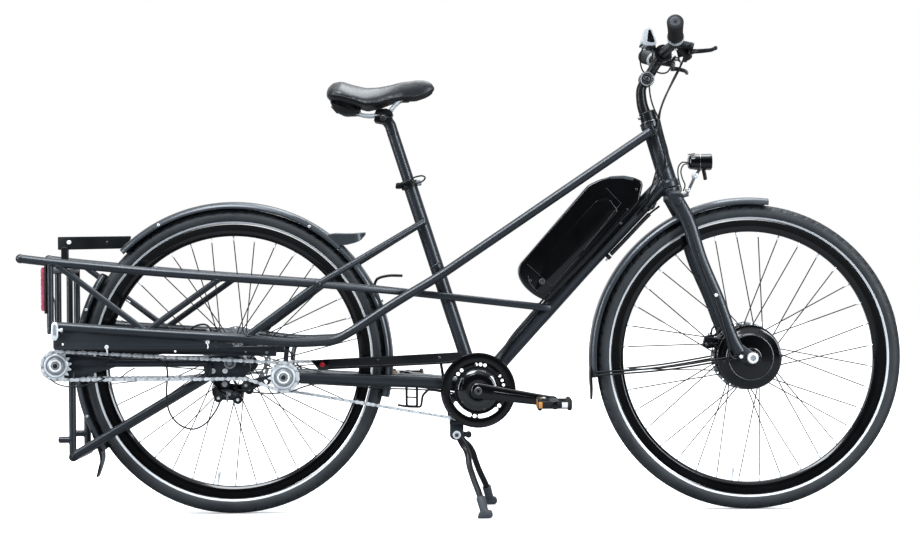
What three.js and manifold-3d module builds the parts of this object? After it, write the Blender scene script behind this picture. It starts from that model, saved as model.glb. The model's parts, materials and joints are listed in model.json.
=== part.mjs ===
// Convertible cargo bicycle with the rear wheel swung in (compact setting).
// Millimetres, +X forward, +Y to the rider's left, +Z up.
// Origin: on the ground, under the middle of the bicycle.
import * as THREE from "three";
import { mergeVertices } from "three/addons/utils/BufferGeometryUtils.js";
import Module from "manifold-3d";

const wasm = await Module();
wasm.setup();

// ---------- driving dimensions ----------
const WHEEL_R = 353; // tyre outer radius, 42-622
const RIM_IN = 290; // rim inner radius
const RIM_OUT = 317.5; // rim outer radius
const FRONT = [656, 353]; // front axle x, z
const REAR = [-537.7, 353]; // rear axle x, z, wheel swung in
const PIVOT = [-929.3, 351]; // swing frame pivot and rear sprocket shaft x, z
const JACK = [-413, 320.3]; // jackshaft x, z
const BB = [28, 284]; // crank axis x, z
const CRANK = 170; // crank length
const CRANK_DROP = 8.2; // degrees the right crank points below forward
const RAIL_Y = 138; // side trusses, off the centre plane
const SWING_Y = 80; // swing frame tubes, off the centre plane
const HEAD_TOP = [432.7, 898.8];
const HEAD_BOT = [477.7, 747.3];
const SEAT_TOP = [-128.5, 766];
const STAND = [-22, 181]; // kickstand pivot x, z
const SPROCKET_R = 32.5; // pitch radius of the 16-tooth sprockets
const CHAINRING_R = 73; // pitch radius of the 36-tooth chainring

// Facet counts below are for a fine model; DETAIL scales them all.
const DETAIL = 0.5;
const facets = (n, least) => Math.max(least, Math.round(n * DETAIL));

// ---------- helpers ----------
const V = (x, y, z) => new THREE.Vector3(x, y, z);

function solid(g) {
  g = g.index ? g.toNonIndexed() : g.clone();
  g.deleteAttribute("normal");
  g.deleteAttribute("uv");
  const m = mergeVertices(g, 1e-4);
  const vertProperties = m.attributes.position.array;
  let triVerts = new Uint32Array(m.index.array);
  let s = new wasm.Manifold(
    new wasm.Mesh({ numProp: 3, vertProperties, triVerts }),
  );
  if (s.volume() < 0) {
    for (let i = 0; i < triVerts.length; i += 3)
      [triVerts[i + 1], triVerts[i + 2]] = [triVerts[i + 2], triVerts[i + 1]];
    s = new wasm.Manifold(
      new wasm.Mesh({ numProp: 3, vertProperties, triVerts }),
    );
  }
  return s;
}
function geometry(s) {
  const m = s.getMesh();
  const v = new Float32Array(m.numVert * 3);
  for (let i = 0; i < m.numVert; i++)
    v.set(m.vertProperties.subarray(i * m.numProp, i * m.numProp + 3), i * 3);
  const g = new THREE.BufferGeometry();
  g.setAttribute("position", new THREE.BufferAttribute(v, 3));
  g.setIndex(new THREE.BufferAttribute(m.triVerts, 1));
  g.computeVertexNormals();
  return g;
}
const join = (...s) => s.reduce((a, b) => a.add(b));
const cut = (s, ...t) => t.reduce((a, b) => a.subtract(b), s);

// A solid through rings of points. cap is a 2-D outline that says how an end
// that isn't convex is closed.
function loft(rings, cap, closed = false) {
  const n = rings[0].length;
  const pos = [];
  const tri = (a, b, c) => pos.push(...a.toArray(), ...b.toArray(), ...c.toArray());
  const last = closed ? rings.length : rings.length - 1;
  for (let i = 0; i < last; i++) {
    const p = rings[i],
      q = rings[(i + 1) % rings.length];
    for (let j = 0; j < n; j++) {
      const k = (j + 1) % n;
      tri(p[j], p[k], q[k]);
      tri(p[j], q[k], q[j]);
    }
  }
  if (!closed) {
    const faces = cap
      ? THREE.ShapeUtils.triangulateShape(cap, [])
      : Array.from({ length: n - 2 }, (_, i) => [0, i + 1, i + 2]);
    // the outline may have been listed either way round: use its area's sign
    const flip = cap && THREE.ShapeUtils.area(cap) < 0;
    for (let [a, b, c] of faces) {
      if (flip) [b, c] = [c, b];
      tri(rings[0][a], rings[0][c], rings[0][b]);
      const r = rings[rings.length - 1];
      tri(r[a], r[b], r[c]);
    }
  }
  const g = new THREE.BufferGeometry();
  g.setAttribute("position", new THREE.Float32BufferAttribute(pos, 3));
  return solid(g);
}
// A tube along points. radius is a number, [across, in-plane], or a function
// of the point's index that returns one of them.
function tube(points, radius, sides = 12, ref = V(0, 1, 0)) {
  sides = facets(sides, sides >= 12 ? 8 : 6);
  const p = points.map((q) => (q.isVector3 ? q : V(...q)));
  const rings = p.map((c, i) => {
    const a = p[Math.max(i - 1, 0)],
      b = p[Math.min(i + 1, p.length - 1)];
    const t =
      i && i < p.length - 1
        ? c.clone().sub(a).normalize().add(b.clone().sub(c).normalize()).normalize()
        : b.clone().sub(a).normalize();
    const u = ref.clone().addScaledVector(t, -ref.dot(t)).normalize();
    const w = t.clone().cross(u);
    let r = typeof radius === "function" ? radius(i, p.length) : radius;
    if (!Array.isArray(r)) r = [r, r];
    // widen in the bend's plane so that the tube keeps its diameter
    return Array.from({ length: sides }, (_, k) => {
      const f = (2 * Math.PI * (k + 0.5)) / sides;
      return c
        .clone()
        .addScaledVector(u, r[0] * Math.cos(f))
        .addScaledVector(w, r[1] * Math.sin(f));
    });
  });
  return loft(rings);
}
// Points of a line with its inner corners rounded to radius r.
function rounded(points, r, steps = 3) {
  steps = Math.min(steps, 2);
  const p = points.map((q) => V(...q));
  const out = [p[0]];
  for (let i = 1; i < p.length - 1; i++) {
    const a = p[i - 1].clone().sub(p[i]),
      b = p[i + 1].clone().sub(p[i]);
    const d = Math.min(r, a.length() * 0.45, b.length() * 0.45);
    const s = p[i].clone().addScaledVector(a.normalize(), d),
      e = p[i].clone().addScaledVector(b.normalize(), d);
    const c = new THREE.QuadraticBezierCurve3(s, p[i], e);
    for (let k = 0; k <= steps; k++) out.push(c.getPoint(k / steps));
  }
  out.push(p[p.length - 1]);
  return out;
}
function curve(points, n) {
  return new THREE.CatmullRomCurve3(
    points.map((q) => V(...q)),
    false,
    "centripetal",
  ).getSpacedPoints(n);
}
// A solid of revolution about a line along Y through x, z.
function turned(profile, [x, z], segments = 32) {
  const g = new THREE.LatheGeometry(
    profile.map(([r, y]) => new THREE.Vector2(r, y)),
    facets(segments, 10),
  );
  g.translate(x, 0, z);
  return solid(g);
}
// A closed ring of rectangular section about a line along Y.
const ring = (r0, r1, y0, y1, at, segments = 32) =>
  turned([[r0, y0], [r1, y0], [r1, y1], [r0, y1], [r0, y0]], at, segments);
const disc = (r, y0, y1, at, segments = 32) =>
  turned([[0, y0], [r, y0], [r, y1], [0, y1]], at, segments);
// A plate: an outline of x, z points with thickness from y0 to y1.
function plate(outline, y0, y1, holes = []) {
  const s = new THREE.Shape(outline.map(([x, z]) => new THREE.Vector2(x, z)));
  for (const h of holes)
    s.holes.push(new THREE.Path(h.map(([x, z]) => new THREE.Vector2(x, z))));
  const g = new THREE.ExtrudeGeometry(s, { depth: y1 - y0, bevelEnabled: false });
  g.rotateX(Math.PI / 2);
  g.translate(0, y1, 0);
  return solid(g);
}
function box(x0, x1, y0, y1, z0, z1) {
  const g = new THREE.BoxGeometry(x1 - x0, y1 - y0, z1 - z0);
  g.translate((x0 + x1) / 2, (y0 + y1) / 2, (z0 + z1) / 2);
  return solid(g);
}
const rod = (a, b, r, sides = 12) => tube([a, b], r, sides, Math.abs(b[1] - a[1]) > Math.abs(b[0] - a[0]) + Math.abs(b[2] - a[2]) ? V(0, 0, 1) : V(0, 1, 0));
const mirror = (s) => s.mirror([0, 1, 0]);
const deg = (d) => (d * Math.PI) / 180;
const polar = ([x, z], r, d) => [x + r * Math.cos(deg(d)), z + r * Math.sin(deg(d))];

const bicycle = new THREE.Group();
bicycle.name = "cargo_bicycle";
const groups = {};
function add(group, name, s, color, roughness, metalness) {
  if (!groups[group]) {
    groups[group] = new THREE.Group();
    groups[group].name = group;
    bicycle.add(groups[group]);
  }
  const m = new THREE.Mesh(
    geometry(s),
    new THREE.MeshStandardMaterial({ color, roughness, metalness }),
  );
  m.name = name;
  groups[group].add(m);
}
const PAINT = [0x20262c, 0.38, 0.35];
const BLACK = [0x0b0b0c, 0.55, 0.1];
const RUBBER = [0x141415, 0.85, 0];
const SILVER = [0xb9bcc0, 0.3, 0.95];
const STEEL = [0x8b8e92, 0.35, 0.95];

// ---------- main frame ----------
const headDir = V(HEAD_BOT[0] - HEAD_TOP[0], 0, HEAD_BOT[1] - HEAD_TOP[1]).normalize();
const onHead = (t) => [HEAD_TOP[0] + headDir.x * t, 0, HEAD_TOP[1] + headDir.z * t];
const headLen = Math.hypot(HEAD_BOT[0] - HEAD_TOP[0], HEAD_BOT[1] - HEAD_TOP[1]);
add("frame", "head_tube",
  cut(
    join(
      rod(onHead(0), onHead(headLen), 21, 20),
      rod(onHead(0), onHead(14), 23.5, 20),
      rod(onHead(headLen - 14), onHead(headLen), 24.5, 20),
    ),
    rod(onHead(-5), onHead(headLen + 5), 14.8, 20),
  ), ...PAINT);

const headCut = rod(onHead(-30), onHead(headLen + 30), 26, 32);
const bbCut = disc(23.4, -60, 60, BB, 40);
const DOWN = [[28, 0, 284], [82, 0, 348], [281.5, 0, 567], [470, 0, 764]];
add("frame", "down_tube",
  cut(tube(DOWN, 18.5, 16), headCut, bbCut), ...PAINT);

const seatDir = V(0.3037, 0, -0.9528).normalize();
const onSeat = (t) => [SEAT_TOP[0] + seatDir.x * t, 0, SEAT_TOP[1] + seatDir.z * t];
add("frame", "seat_tube",
  cut(
    rod(onSeat(0), onSeat(500), 16.2, 16),
    rod(onSeat(-5), onSeat(330), 14.2, 16),
    bbCut,
    tube(DOWN, 19, 16),
  ), ...PAINT);

add("frame", "bottom_bracket_shell",
  cut(
    join(
      ring(10.4, 22.1, -36.5, 36.5, BB, 36),
      plate([[-42, 214], [-4, 214], [6, 226], [22, 262.5], [10, 270], [4, 268], [-14, 250], [-38, 226]], -16, 16),
      box(-38, -6, -44, 44, 204, 214.5),
      plate([[-38, 214], [-6, 214], [-6, 176], [-14, 169], [-30, 169], [-38, 176]], 38, 44),
      plate([[-38, 214], [-6, 214], [-6, 176], [-14, 169], [-30, 169], [-38, 176]], -44, -38),
    ),
    disc(10.4, -60, 60, BB, 24),
  ), ...PAINT);

// Twin rails from the head tube, past the seat tube, to the load area.
const railPlan = (x) => (x > -58 ? 32.7 : x < -505 ? RAIL_Y : 32.7 + ((-58 - x) * (RAIL_Y - 32.7)) / 447);
const railPt = (x, z) => [x, -railPlan(x), z];
const MAIN = [
  [431, -32.7, 875.5], [-58, -32.7, 546.7],
  railPt(-161, 487), railPt(-262, 421),
  railPt(-300, 401), railPt(-397, 397.5), railPt(-505, 411.5), railPt(-715, 425.5), [-922.5, -RAIL_Y, 441.5],
];
const mainRail = cut(tube(rounded(MAIN, 26, 3), 10.5, 12), headCut);
add("frame", "main_rail_right", mainRail, ...PAINT);
add("frame", "main_rail_left", mirror(mainRail), ...PAINT);

// Side truss: top rail with its knob, three struts and the seat stay, and the
// flattened bar that carries on to the down tube.
const truss = cut(
  join(
    tube(rounded([[-994, -RAIL_Y, 593.4], [-932, -RAIL_Y, 585.4], [-707, -RAIL_Y, 562], [-505, -RAIL_Y, 545.3], [-333, -110, 531.4]], 14, 2), 9.6, 12),
    solid(new THREE.SphereGeometry(10.5, 10, 6).translate(-998.6, -RAIL_Y, 594)),
    solid(new THREE.SphereGeometry(9.8, 8, 6).translate(-333, -110, 531.4)),
    tube([[-916, -RAIL_Y, 579], [-722, -RAIL_Y, 431]], 7, 10),
    tube([[-548, -RAIL_Y, 547.5], [-712, -RAIL_Y, 432]], 7, 10),
    tube([[-338, -112, 528], [-494, -134.6, 414]], 8, 10),
    tube([[-333, -110, 531.4], [-104, -24.5, 667]], 7.2, 10),
    tube([[-333, -110, 531.4], [-130, -28, 509], [-58, -21.2, 500.6], [188, -23.6, 470.6]], (i) => (i ? [4, 8] : [5, 9]), 10),
  ),
  tube(rounded(MAIN, 26, 3), 11.2, 12),
  rod(onSeat(-5), onSeat(500), 16.9, 16),
  tube(DOWN, 19.2, 16),
);
add("frame", "side_truss_right", truss, ...PAINT);
add("frame", "side_truss_left", mirror(truss), ...PAINT);

// Rear gate: outer and inner posts, cross bar, pivot housings and the left stub axle.
const gateHalf = join(
  tube([[-932, -RAIL_Y, 427], [-932, -RAIL_Y, 575.2]], 7.6, 10),
  tube([[-932, -60, 364], [-932, -60, 566]], 7.4, 10),
  ring(9.8, 19, -67.5, -53, PIVOT, 24),
);
add("frame", "rear_gate",
  cut(
    join(
      gateHalf,
      mirror(gateHalf),
      rod([-932, -RAIL_Y, 566], [-932, RAIL_Y, 566], 6.8, 10),
      disc(9, 54, 94, PIVOT, 20),
      disc(18, 54, 66, PIVOT, 20),
    ),
    disc(9.8, -80, -50, PIVOT, 24),
    tube([[-994, -RAIL_Y, 593.4], [-932, -RAIL_Y, 585.4], [-707, -RAIL_Y, 562]], 10.1, 12),
    tube([[-994, RAIL_Y, 593.4], [-932, RAIL_Y, 585.4], [-707, RAIL_Y, 562]], 10.1, 12),
    tube([[-700, -RAIL_Y, 425], [-922.5, -RAIL_Y, 441.5]], 11, 12),
    tube([[-700, RAIL_Y, 425], [-922.5, RAIL_Y, 441.5]], 11, 12),
  ), ...PAINT);

// Load floor halves: outer skirt under the lower rail, a shelf and an inner
// lip, bent from one sheet, with the wheel's slot open between the two halves.
const floorHalf = cut(
  join(
    plate([[-926, 432], [-926, 388], [-520, 388], [-520, 398], [-677, 402], [-677, 418]], -141, -138.5),
    plate([[-924, 391], [-924, 388], [-420, 388], [-420, 391]], -140, -90),
    plate([[-924, 391], [-924, 381], [-600, 372.5], [-420, 367.5], [-420, 391]], -92.5, -90),
  ),
  tube(rounded(MAIN, 26, 3), 11.1, 12),
  tube([[-932, -RAIL_Y, 380], [-932, -RAIL_Y, 575]], 8.2, 10),
  // corner taken off where the rails draw together
  plate([[-560, 360], [-400, 360], [-400, 440], [-560, 440]], -160, -126),
  plate([[-440, 360], [-400, 360], [-400, 440], [-440, 440]], -160, -104),
);
add("frame", "load_floor_right", floorHalf, ...PAINT);
add("frame", "load_floor_left", mirror(floorHalf), ...PAINT);

// Chain stays with the jackshaft housing, its hanger and the idler roller.
const stay = join(
  tube([[4, -29, 288], [-60, -36, 299.5], [-185, -38.2, 306.5], [-290, -50, 312], [-378, -66, 317]], (i) => (i < 3 ? [8.4, 13.8] : [10.5, 13.8]), 14),
  ring(9, 17, -91, -58, JACK, 24),
  tube([[-378, -66, 317], [-402, -70, 319.5]], [7.5, 11], 12),
  tube([[-410, -84, 330], [-409, -84, 370], [-404, -107, 386]], 5.5, 8),
);
const stayCuts = [
  bbCut,
  disc(9, -100, -50, JACK, 24),
  tube(rounded(MAIN, 26, 3), 11.1, 12),
];
add("frame", "chain_stay_right",
  cut(
    join(stay,
      plate([[-425, 331], [-425, 309], [-495, 293], [-506, 297], [-508, 307], [-499, 313]], -94, -90.6),
      disc(10.5, -104.5, -92, [-498.5, 302.5], 20),
    ),
    ...stayCuts), ...PAINT);
add("frame", "chain_stay_left", mirror(cut(stay, ...stayCuts)), ...PAINT);

// Mudguards: a channel section round a wheel.
function guard(centre, from, to, steps, flap, half = 28) {
  const outline = [
    [353.5, -half], [365, -half + 4], [369.6, -half + 15], [369.6, half - 15], [365, half - 4], [353.5, half],
    [353.5, half - 2.2], [363.4, half - 6], [367.2, half - 16], [367.2, -half + 16], [363.4, -half + 6], [353.5, -half + 2.2],
  ];
  const rings = [];
  for (let i = 0; i <= steps; i++) {
    const d = from + ((to - from) * i) / steps;
    rings.push(outline.map(([r, y]) => { const q = polar(centre, r, d); return V(q[0], y, q[1]); }));
  }
  const s = loft(rings, outline.map(([r, y]) => new THREE.Vector2(y, r)));
  return flap ? join(s, flap) : s;
}
const armEnd = [];
for (let d = 128; d <= 137; d += 3) armEnd.push(polar(REAR, 371, d));
add("frame", "rear_fender_top",
  join(
    guard(REAR, 46.5, 135, 12, null),
    plate([[-318, 639], [-300, 644.5], [-262, 644], [-236, 645.5], [-246, 637], [-262, 631.5], [-292, 629], [-312, 628]], -24, 24),
  ), ...PAINT);
add("frame", "fender_arm",
  join(
    plate([[-945, 614.8], [-799.5, 616.5], ...armEnd.filter((p) => p[1] > 617 && p[1] < 644).reverse(), [-775, 645.6], [-945, 645]], -3, 3),
    box(-937, -921, -7, 7, 573.4, 622),
  ), ...PAINT);
add("frame", "rear_fender_front", guard(REAR, -13.5, 44.8, 9, null), ...PAINT);

add("frame", "seat_clamp",
  cut(
    join(
      rod(onSeat(2), onSeat(15), 21, 20),
      box(-160, -142, -6.5, 9, 750, 764),
      box(-118, -99, -9, 9, 757, 771),
    ),
    rod(onSeat(-40), onSeat(60), 16.8, 16),
    box(-165, -140, -1.5, 1.5, 740, 780),
  ), ...BLACK);

// Chain cover: a flat bar over the upper run of the front chain.
add("frame", "chain_cover",
  plate([[-356, 357.5], [-352, 346], [-344, 341.8], [-36, 347.5], [-16, 352], [-10, 372.5], [-150, 367.5], [-350, 358.5]], -64.5, -61), ...BLACK);

// ---------- chains ----------
const arc = (c, r, a, b, n) => Array.from({ length: n + 1 }, (_, i) => polar(c, r, a + ((b - a) * i) / n));
function chain(path, y0, y1, half = 3.9) {
  const n = path.length;
  const out = [], inn = [];
  for (let i = 0; i < n; i++) {
    const a = path[(i + n - 1) % n], b = path[(i + 1) % n];
    const t = V(b[0] - a[0], 0, b[1] - a[1]).normalize();
    out.push([path[i][0] + t.z * half, path[i][1] - t.x * half]);
    inn.push([path[i][0] - t.z * half, path[i][1] + t.x * half]);
  }
  return plate(out, y0, y1, [inn.reverse()]);
}
// Belt path round two sprockets, counter-clockwise seen with x right, z up.
function belt(c1, r1, c2, r2, n = 12) {
  const dx = c2[0] - c1[0], dz = c2[1] - c1[1];
  const base = (Math.atan2(dz, dx) * 180) / Math.PI;
  const k = (Math.acos((r1 - r2) / Math.hypot(dx, dz)) * 180) / Math.PI;
  return [...arc(c1, r1, base + k, base + 360 - k, n), ...arc(c2, r2, base - k, base + k, n)];
}
add("frame", "chain_front", chain(belt(JACK, SPROCKET_R, BB, CHAINRING_R, 12), -54, -46.5), ...STEEL);
// Middle chain: jackshaft to the pivot shaft, its lower run lifted by the idler.
{
  const top = (Math.atan2(JACK[1] - PIVOT[1], JACK[0] - PIVOT[0]) * 180) / Math.PI + 90;
  const path = [
    ...arc(PIVOT, SPROCKET_R, top, 269, 12),
    [-700, 317.6],
    ...arc([-498.5, 302.5], 15.2, 91, 72, 4),
    ...arc(JACK, SPROCKET_R, 252, 360 + top, 12),
  ];
  add("frame", "chain_mid", chain(path, -104, -96.5), ...SILVER);
}

add("frame", "tail_lamp", plate([[-951.5, 479], [-948, 476], [-940.2, 476], [-940.2, 574.5], [-948, 574.5], [-951.5, 571.5]], -RAIL_Y - 8, -RAIL_Y + 8), 0x7a0d16, 0.25, 0);

// ---------- battery ----------
{
  const edge = (x, off) => { // down tube centreline moved up and back by off
    const z = 348 + (x - 82) * 1.0905;
    return [x - 0.737 * off, z + 0.676 * off];
  };
  const outline = [
    [127, 573], [122, 560], [124, 545], [141, 517], [158, 502], [190, 486],
    edge(300, 9), edge(409, 9), [412, 752], [409, 762], [392, 770], [368, 775], [342, 774], [312, 766], [286, 754],
  ];
  add("battery", "battery_pack",
    cut(plate(outline, -43, 43), tube(DOWN, 20.5, 16), tube([[-130, -28, 509], [-58, -21.2, 500.6], [230, -23.6, 466]], [6, 10], 10), tube([[-130, 28, 509], [-58, 21.2, 500.6], [230, 23.6, 466]], [6, 10], 10)),
    0x101215, 0.6, 0.05);
}

// ---------- steering ----------
const CROWN = onHead(headLen + 14);
const blade = curve([[483, -37, 726], [512.4, -46, 670], [540.7, -55, 578], [578.9, -60, 486], [612.4, -60.5, 394.4], [628, -60.5, 366]], 6);
const bladeR = (i, n) => [10 - (1.6 * i) / n, 17.5 - (3.5 * i) / n];
const dropouts = plate([[610, 374], [632, 384], [650, 372], [671, 361], [672, 345], [660, 338], [640, 341], [618, 352]], -66, -54);
const axleNut = join(disc(6, -76, 76, FRONT, 16), disc(11.5, -75, -66.5, FRONT, 16), disc(11.5, 66.5, 75, FRONT, 16));
add("steering", "fork",
  join(
    rod(onHead(-22), CROWN, 14, 18),
    rod(onHead(headLen + 1), onHead(headLen + 16), 23, 20),
    tube([[485, -46, 722], [483, 0, 728], [485, 46, 722]], [12, 18], 12, V(0, 0, 1)),
    tube(blade, bladeR, 12),
    mirror(tube(blade, bladeR, 12)),
    dropouts,
    mirror(dropouts),
    axleNut,
  ), ...PAINT);

const stemTop = [425.5, 998.6];
add("steering", "stem",
  cut(
    join(
      tube([onHead(-3), onHead(-26)], 19, 16),
      tube([onHead(-8), [419, 0, 928], [413.9, 0, 951.5], [413.5, 0, 975], [420, 0, 990]], (i) => [13, i ? 10.5 : 14], 14),
      disc(17.5, -17, 17, stemTop, 24),
      tube([[427, 0, 1001], [444, 0, 1028], [460, 0, 1052]], [17, 11.5], 12),
      rod([463, -21, 1058], [463, 21, 1058], 20, 20),
    ),
    rod(onHead(-24), onHead(6), 14.5, 18),
    tube([[463, -60, 1058], [463, 60, 1058]], 13.2, 12, V(0, 0, 1)),
  ), ...BLACK);

const BAR = rounded([[463, 0, 1058], [463, -36, 1058], [474, -150, 1063], [470, -198, 1065], [456, -308, 1089]], 12, 2);
const barHalf = tube(BAR, (i) => (i < 3 ? 12.6 : 11), 12, V(0, 0, 1));
add("steering", "handlebar", join(barHalf, mirror(barHalf)), ...BLACK);

const barSteps = [BAR[BAR.length - 2], BAR[BAR.length - 1]];
const along = (t) => barSteps[1].clone().lerp(barSteps[0], t / barSteps[0].distanceTo(barSteps[1]));
const gripSolid = cut(
  tube([along(-3), along(3), along(40), along(72), along(88), along(94)], (i) => [15.5, 18.5, 17, 16.5, 18, 15][i] ? [[15.5, 18.5, 17, 16.5, 18, 15][i], [15.5, 18.5, 17, 16.5, 18, 15][i]] : 16, 14, V(0, 0, 1)),
  tube([along(-0.5), along(110)], 11.5, 12, V(0, 0, 1)),
);
add("steering", "grip_right", gripSolid, ...RUBBER);
add("steering", "grip_left", mirror(gripSolid), ...RUBBER);

// Brake and shift housings clamped on the bar.
const control = (shifter) => {
  let s = join(
    tube([[474, -160, 1063.6], [471.5, -184, 1064.9]], 16, 14, V(0, 0, 1)),
    tube([[480, -172, 1060], [500, -168, 1056], [512, -166, 1053]], [11, 8.5], 10),
    tube([[505, -178, 1054], [505, -150, 1055], [498, -128, 1058]], [6, 6], 10, V(0, 0, 1)),
  );
  if (shifter)
    s = join(s, tube([[486, -148, 1056], [500, -146, 1040], [508, -146, 1026]], [12, 9], 10), tube([[478, -150, 1060], [490, -148, 1054]], [10, 9], 10));
  return cut(s, tube(BAR, 11.6, 12, V(0, 0, 1)), box(500, 530, -174, -160, 1036, 1049.2));
};
add("steering", "control_right", control(true), ...BLACK);
add("steering", "control_left", mirror(control(false)), ...BLACK);
const lever = join(
  tube([[508, -167, 1043.5], [522, -176, 1042.5], [538, -196, 1041], [548, -222, 1040], [552, -248, 1040.5]], (i) => [5.5, 4.2], 8),
  disc(5.4, -172, -162, [508, 1042], 12),
);
add("steering", "brake_lever_right", lever, ...BLACK);
add("steering", "brake_lever_left", mirror(lever), ...BLACK);

add("steering", "display",
  plate([[413, 1082], [421, 1112], [430, 1117], [437, 1113], [446, 1084], [447, 1076.6], [420, 1073]], -32, 32), 0x9fa4a8, 0.4, 0.1);

add("steering", "headlight",
  cut(
    join(
      tube([[521.5, 0, 806], [526, 0, 806], [560, 0, 806], [574, 0, 806]], (i) => [[22, 15], [26, 18], [27, 18.5], [28, 19]][i], 16),
      tube([[548, 0, 790], [538, 0, 776.5], [521.5, 0, 741], [519, 0, 727]], [7, 5], 8),
      tube([[518, 0, 732], [503, 0, 727]], [8, 6], 8),
      tube([[556, 0, 790], [561, 0, 764]], [5, 5], 8),
    ),
    rod(onHead(-30), onHead(headLen + 30), 25.4, 20),
    tube([[485, -46, 722], [483, 0, 728], [485, 46, 722]], [12.8, 18.8], 12, V(0, 0, 1)),
  ), ...BLACK);

{
  const f = (d, r) => polar(FRONT, r, d);
  const flap = loft(
    [[186.5, 366], [190, 368], [194.5, 376]].map(([d, r]) =>
      [[r, -24], [r + 3, -24], [r + 3, 24], [r, 24]].map(([q, y]) => V(f(d, q)[0], y, f(d, q)[1]))),
  );
  const rods = [
    [[628, 359.5], [458, 333], [296, 321]],
    [[628, 353.5], [458, 327], [297.5, 314]],
  ].flatMap((p) => [-1, 1].map((s) => tube([[p[0][0], s * 71, p[0][1]], [p[1][0], s * 56, p[1][1]], [p[2][0], s * 26.5, p[2][1]]], 2.1, 6)));
  add("steering", "front_fender",
    cut(
      join(guard(FRONT, 82.5, 187, 12, flap), ...rods,
        plate([[622, 365], [635, 363], [637, 349], [622, 348]], -74.5, -68), plate([[622, 365], [635, 363], [637, 349], [622, 348]], 68, 74.5)),
      tube(blade, (i, n) => bladeR(i, n).map((v) => v + 0.7), 12),
      mirror(tube(blade, (i, n) => bladeR(i, n).map((v) => v + 0.7), 12)),
      plate([[600, 374], [632, 390], [650, 375], [680, 365], [680, 340], [660, 330], [640, 335], [600, 350]], -66.5, 66.5),
    ), ...PAINT);
}

add("steering", "front_caliper",
  cut(
    join(
      loft([-4, 4].map((s) => [[-20, -12], [-8, -18], [14, -14], [18, 4], [6, 16], [-14, 12]].map(([x, z]) => V(577 + x, 47.8 + (s < 0 ? -7 : 12), 388 + z)))),
    ),
    ring(0.01, 82.5, 45.6, 49.4, FRONT, 32),
    tube(blade, (i, n) => bladeR(i, n).map((v) => v + 0.7), 12).mirror([0, 1, 0]),
  ), ...BLACK);

// ---------- wheels ----------
const tyre = (c) => turned([
  [318.2, -13.2], [325, -18.5], [334, -21], [344, -17.5], [350.5, -9.5], [353, 0], [350.5, 9.5], [344, 17.5], [334, 21], [325, 18.5], [318.2, 13.2], [318.2, -13.2],
], c, 56);
const rim = (c) => turned([
  [RIM_IN, -5], [297, -10.5], [RIM_OUT, -12.5], [RIM_OUT, 12.5], [297, 10.5], [RIM_IN, 5], [RIM_IN, -5],
], c, 56);
// A square wire 1.7 mm across.
function spoke(a, b) {
  const p = V(...a), q = V(...b);
  const t = q.clone().sub(p).normalize();
  const u = V(0, 1, 0).addScaledVector(t, -t.y).normalize();
  const w = t.clone().cross(u);
  return loft([p, q].map((c) => [[1, 1], [-1, 1], [-1, -1], [1, -1]].map(([i, j]) =>
    c.clone().addScaledVector(u, 0.85 * i).addScaledVector(w, 0.85 * j))));
}
function spokes(c, flange, ys, cross, phase) {
  const out = [];
  for (let i = 0; i < 36; i++) {
    const left = i % 2, lead = Math.floor(i / 2) % 2 ? 1 : -1;
    const d = phase + i * 10;
    const a = polar(c, flange, d + lead * cross * 20);
    const b = polar(c, RIM_IN - 2.6, d);
    const y = left ? ys[1] : ys[0];
    // crossing spokes pass each other 2 mm apart or more
    out.push(spoke([a[0], y + lead * 2.4, a[1]], [b[0], (left ? 2.3 : -2.3) + lead, b[1]]));
  }
  return out;
}
add("front_wheel", "front_tyre", tyre(FRONT), ...RUBBER);
add("front_wheel", "front_rim", rim(FRONT), ...BLACK);
add("front_wheel", "front_hub_motor",
  join(
    turned([[6.8, -49], [20, -49], [24, -44], [52, -42], [57, -34], [66, -30], [74, -27], [74, 27], [66, 30], [57, 36], [52, 42], [24, 44], [20, 45.4], [6.8, 45.4], [6.8, -49]], FRONT, 36),
    ...spokes(FRONT, 71, [-24, 24], 1, 5),
  ), ...BLACK);
add("front_wheel", "front_rotor",
  join(
    ring(66, 80, 46.6, 48.4, FRONT, 40),
    ring(8, 26, 46.6, 48.4, FRONT, 24),
    ...[0, 120, 240].map((d) => {
      const a = polar(FRONT, 22, d), b = polar(FRONT, 70, d + 22);
      const w = 4;
      const n = V(-(b[1] - a[1]), 0, b[0] - a[0]).normalize().multiplyScalar(w);
      return plate([[a[0] - n.x, a[1] - n.z], [b[0] - n.x, b[1] - n.z], [b[0] + n.x, b[1] + n.z], [a[0] + n.x, a[1] + n.z]], 46.6, 48.4);
    }),
  ), ...STEEL);

add("rear_wheel", "rear_tyre", tyre(REAR), ...RUBBER);
add("rear_wheel", "rear_rim", rim(REAR), ...BLACK);
add("rear_wheel", "rear_hub",
  join(
    turned([[6.6, -62], [17, -62], [17, -24], [29, -21.5], [29, -18.5], [19, -14], [16, 0], [19, 24], [30, 29], [30, 32.5], [18, 36], [18, 44.6], [12, 60], [6.6, 60], [6.6, -62]], REAR, 24),
    ...spokes(REAR, 26.5, [-20, 31], 3, 0),
  ), ...BLACK);
add("rear_wheel", "rear_rotor",
  join(
    ring(66, 80, 45.8, 47.6, REAR, 40),
    ring(19.5, 28, 45.8, 47.6, REAR, 24),
    ...[0, 120, 240].map((d) => {
      const a = polar(REAR, 25, d), b = polar(REAR, 70, d + 22);
      const n = V(-(b[1] - a[1]), 0, b[0] - a[0]).normalize().multiplyScalar(4);
      return plate([[a[0] - n.x, a[1] - n.z], [b[0] - n.x, b[1] - n.z], [b[0] + n.x, b[1] + n.z], [a[0] + n.x, a[1] + n.z]], 45.8, 47.6);
    }),
  ), ...STEEL);
add("sprockets", "cassette",
  turned([
    [17.5, -60], [22, -60], [25, -51.5], [28.2, -51.5], [28.2, -44], [44, -28], [44, -25.5], [17.5, -25.5], [17.5, -60],
  ], REAR, 28), ...STEEL);

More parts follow.
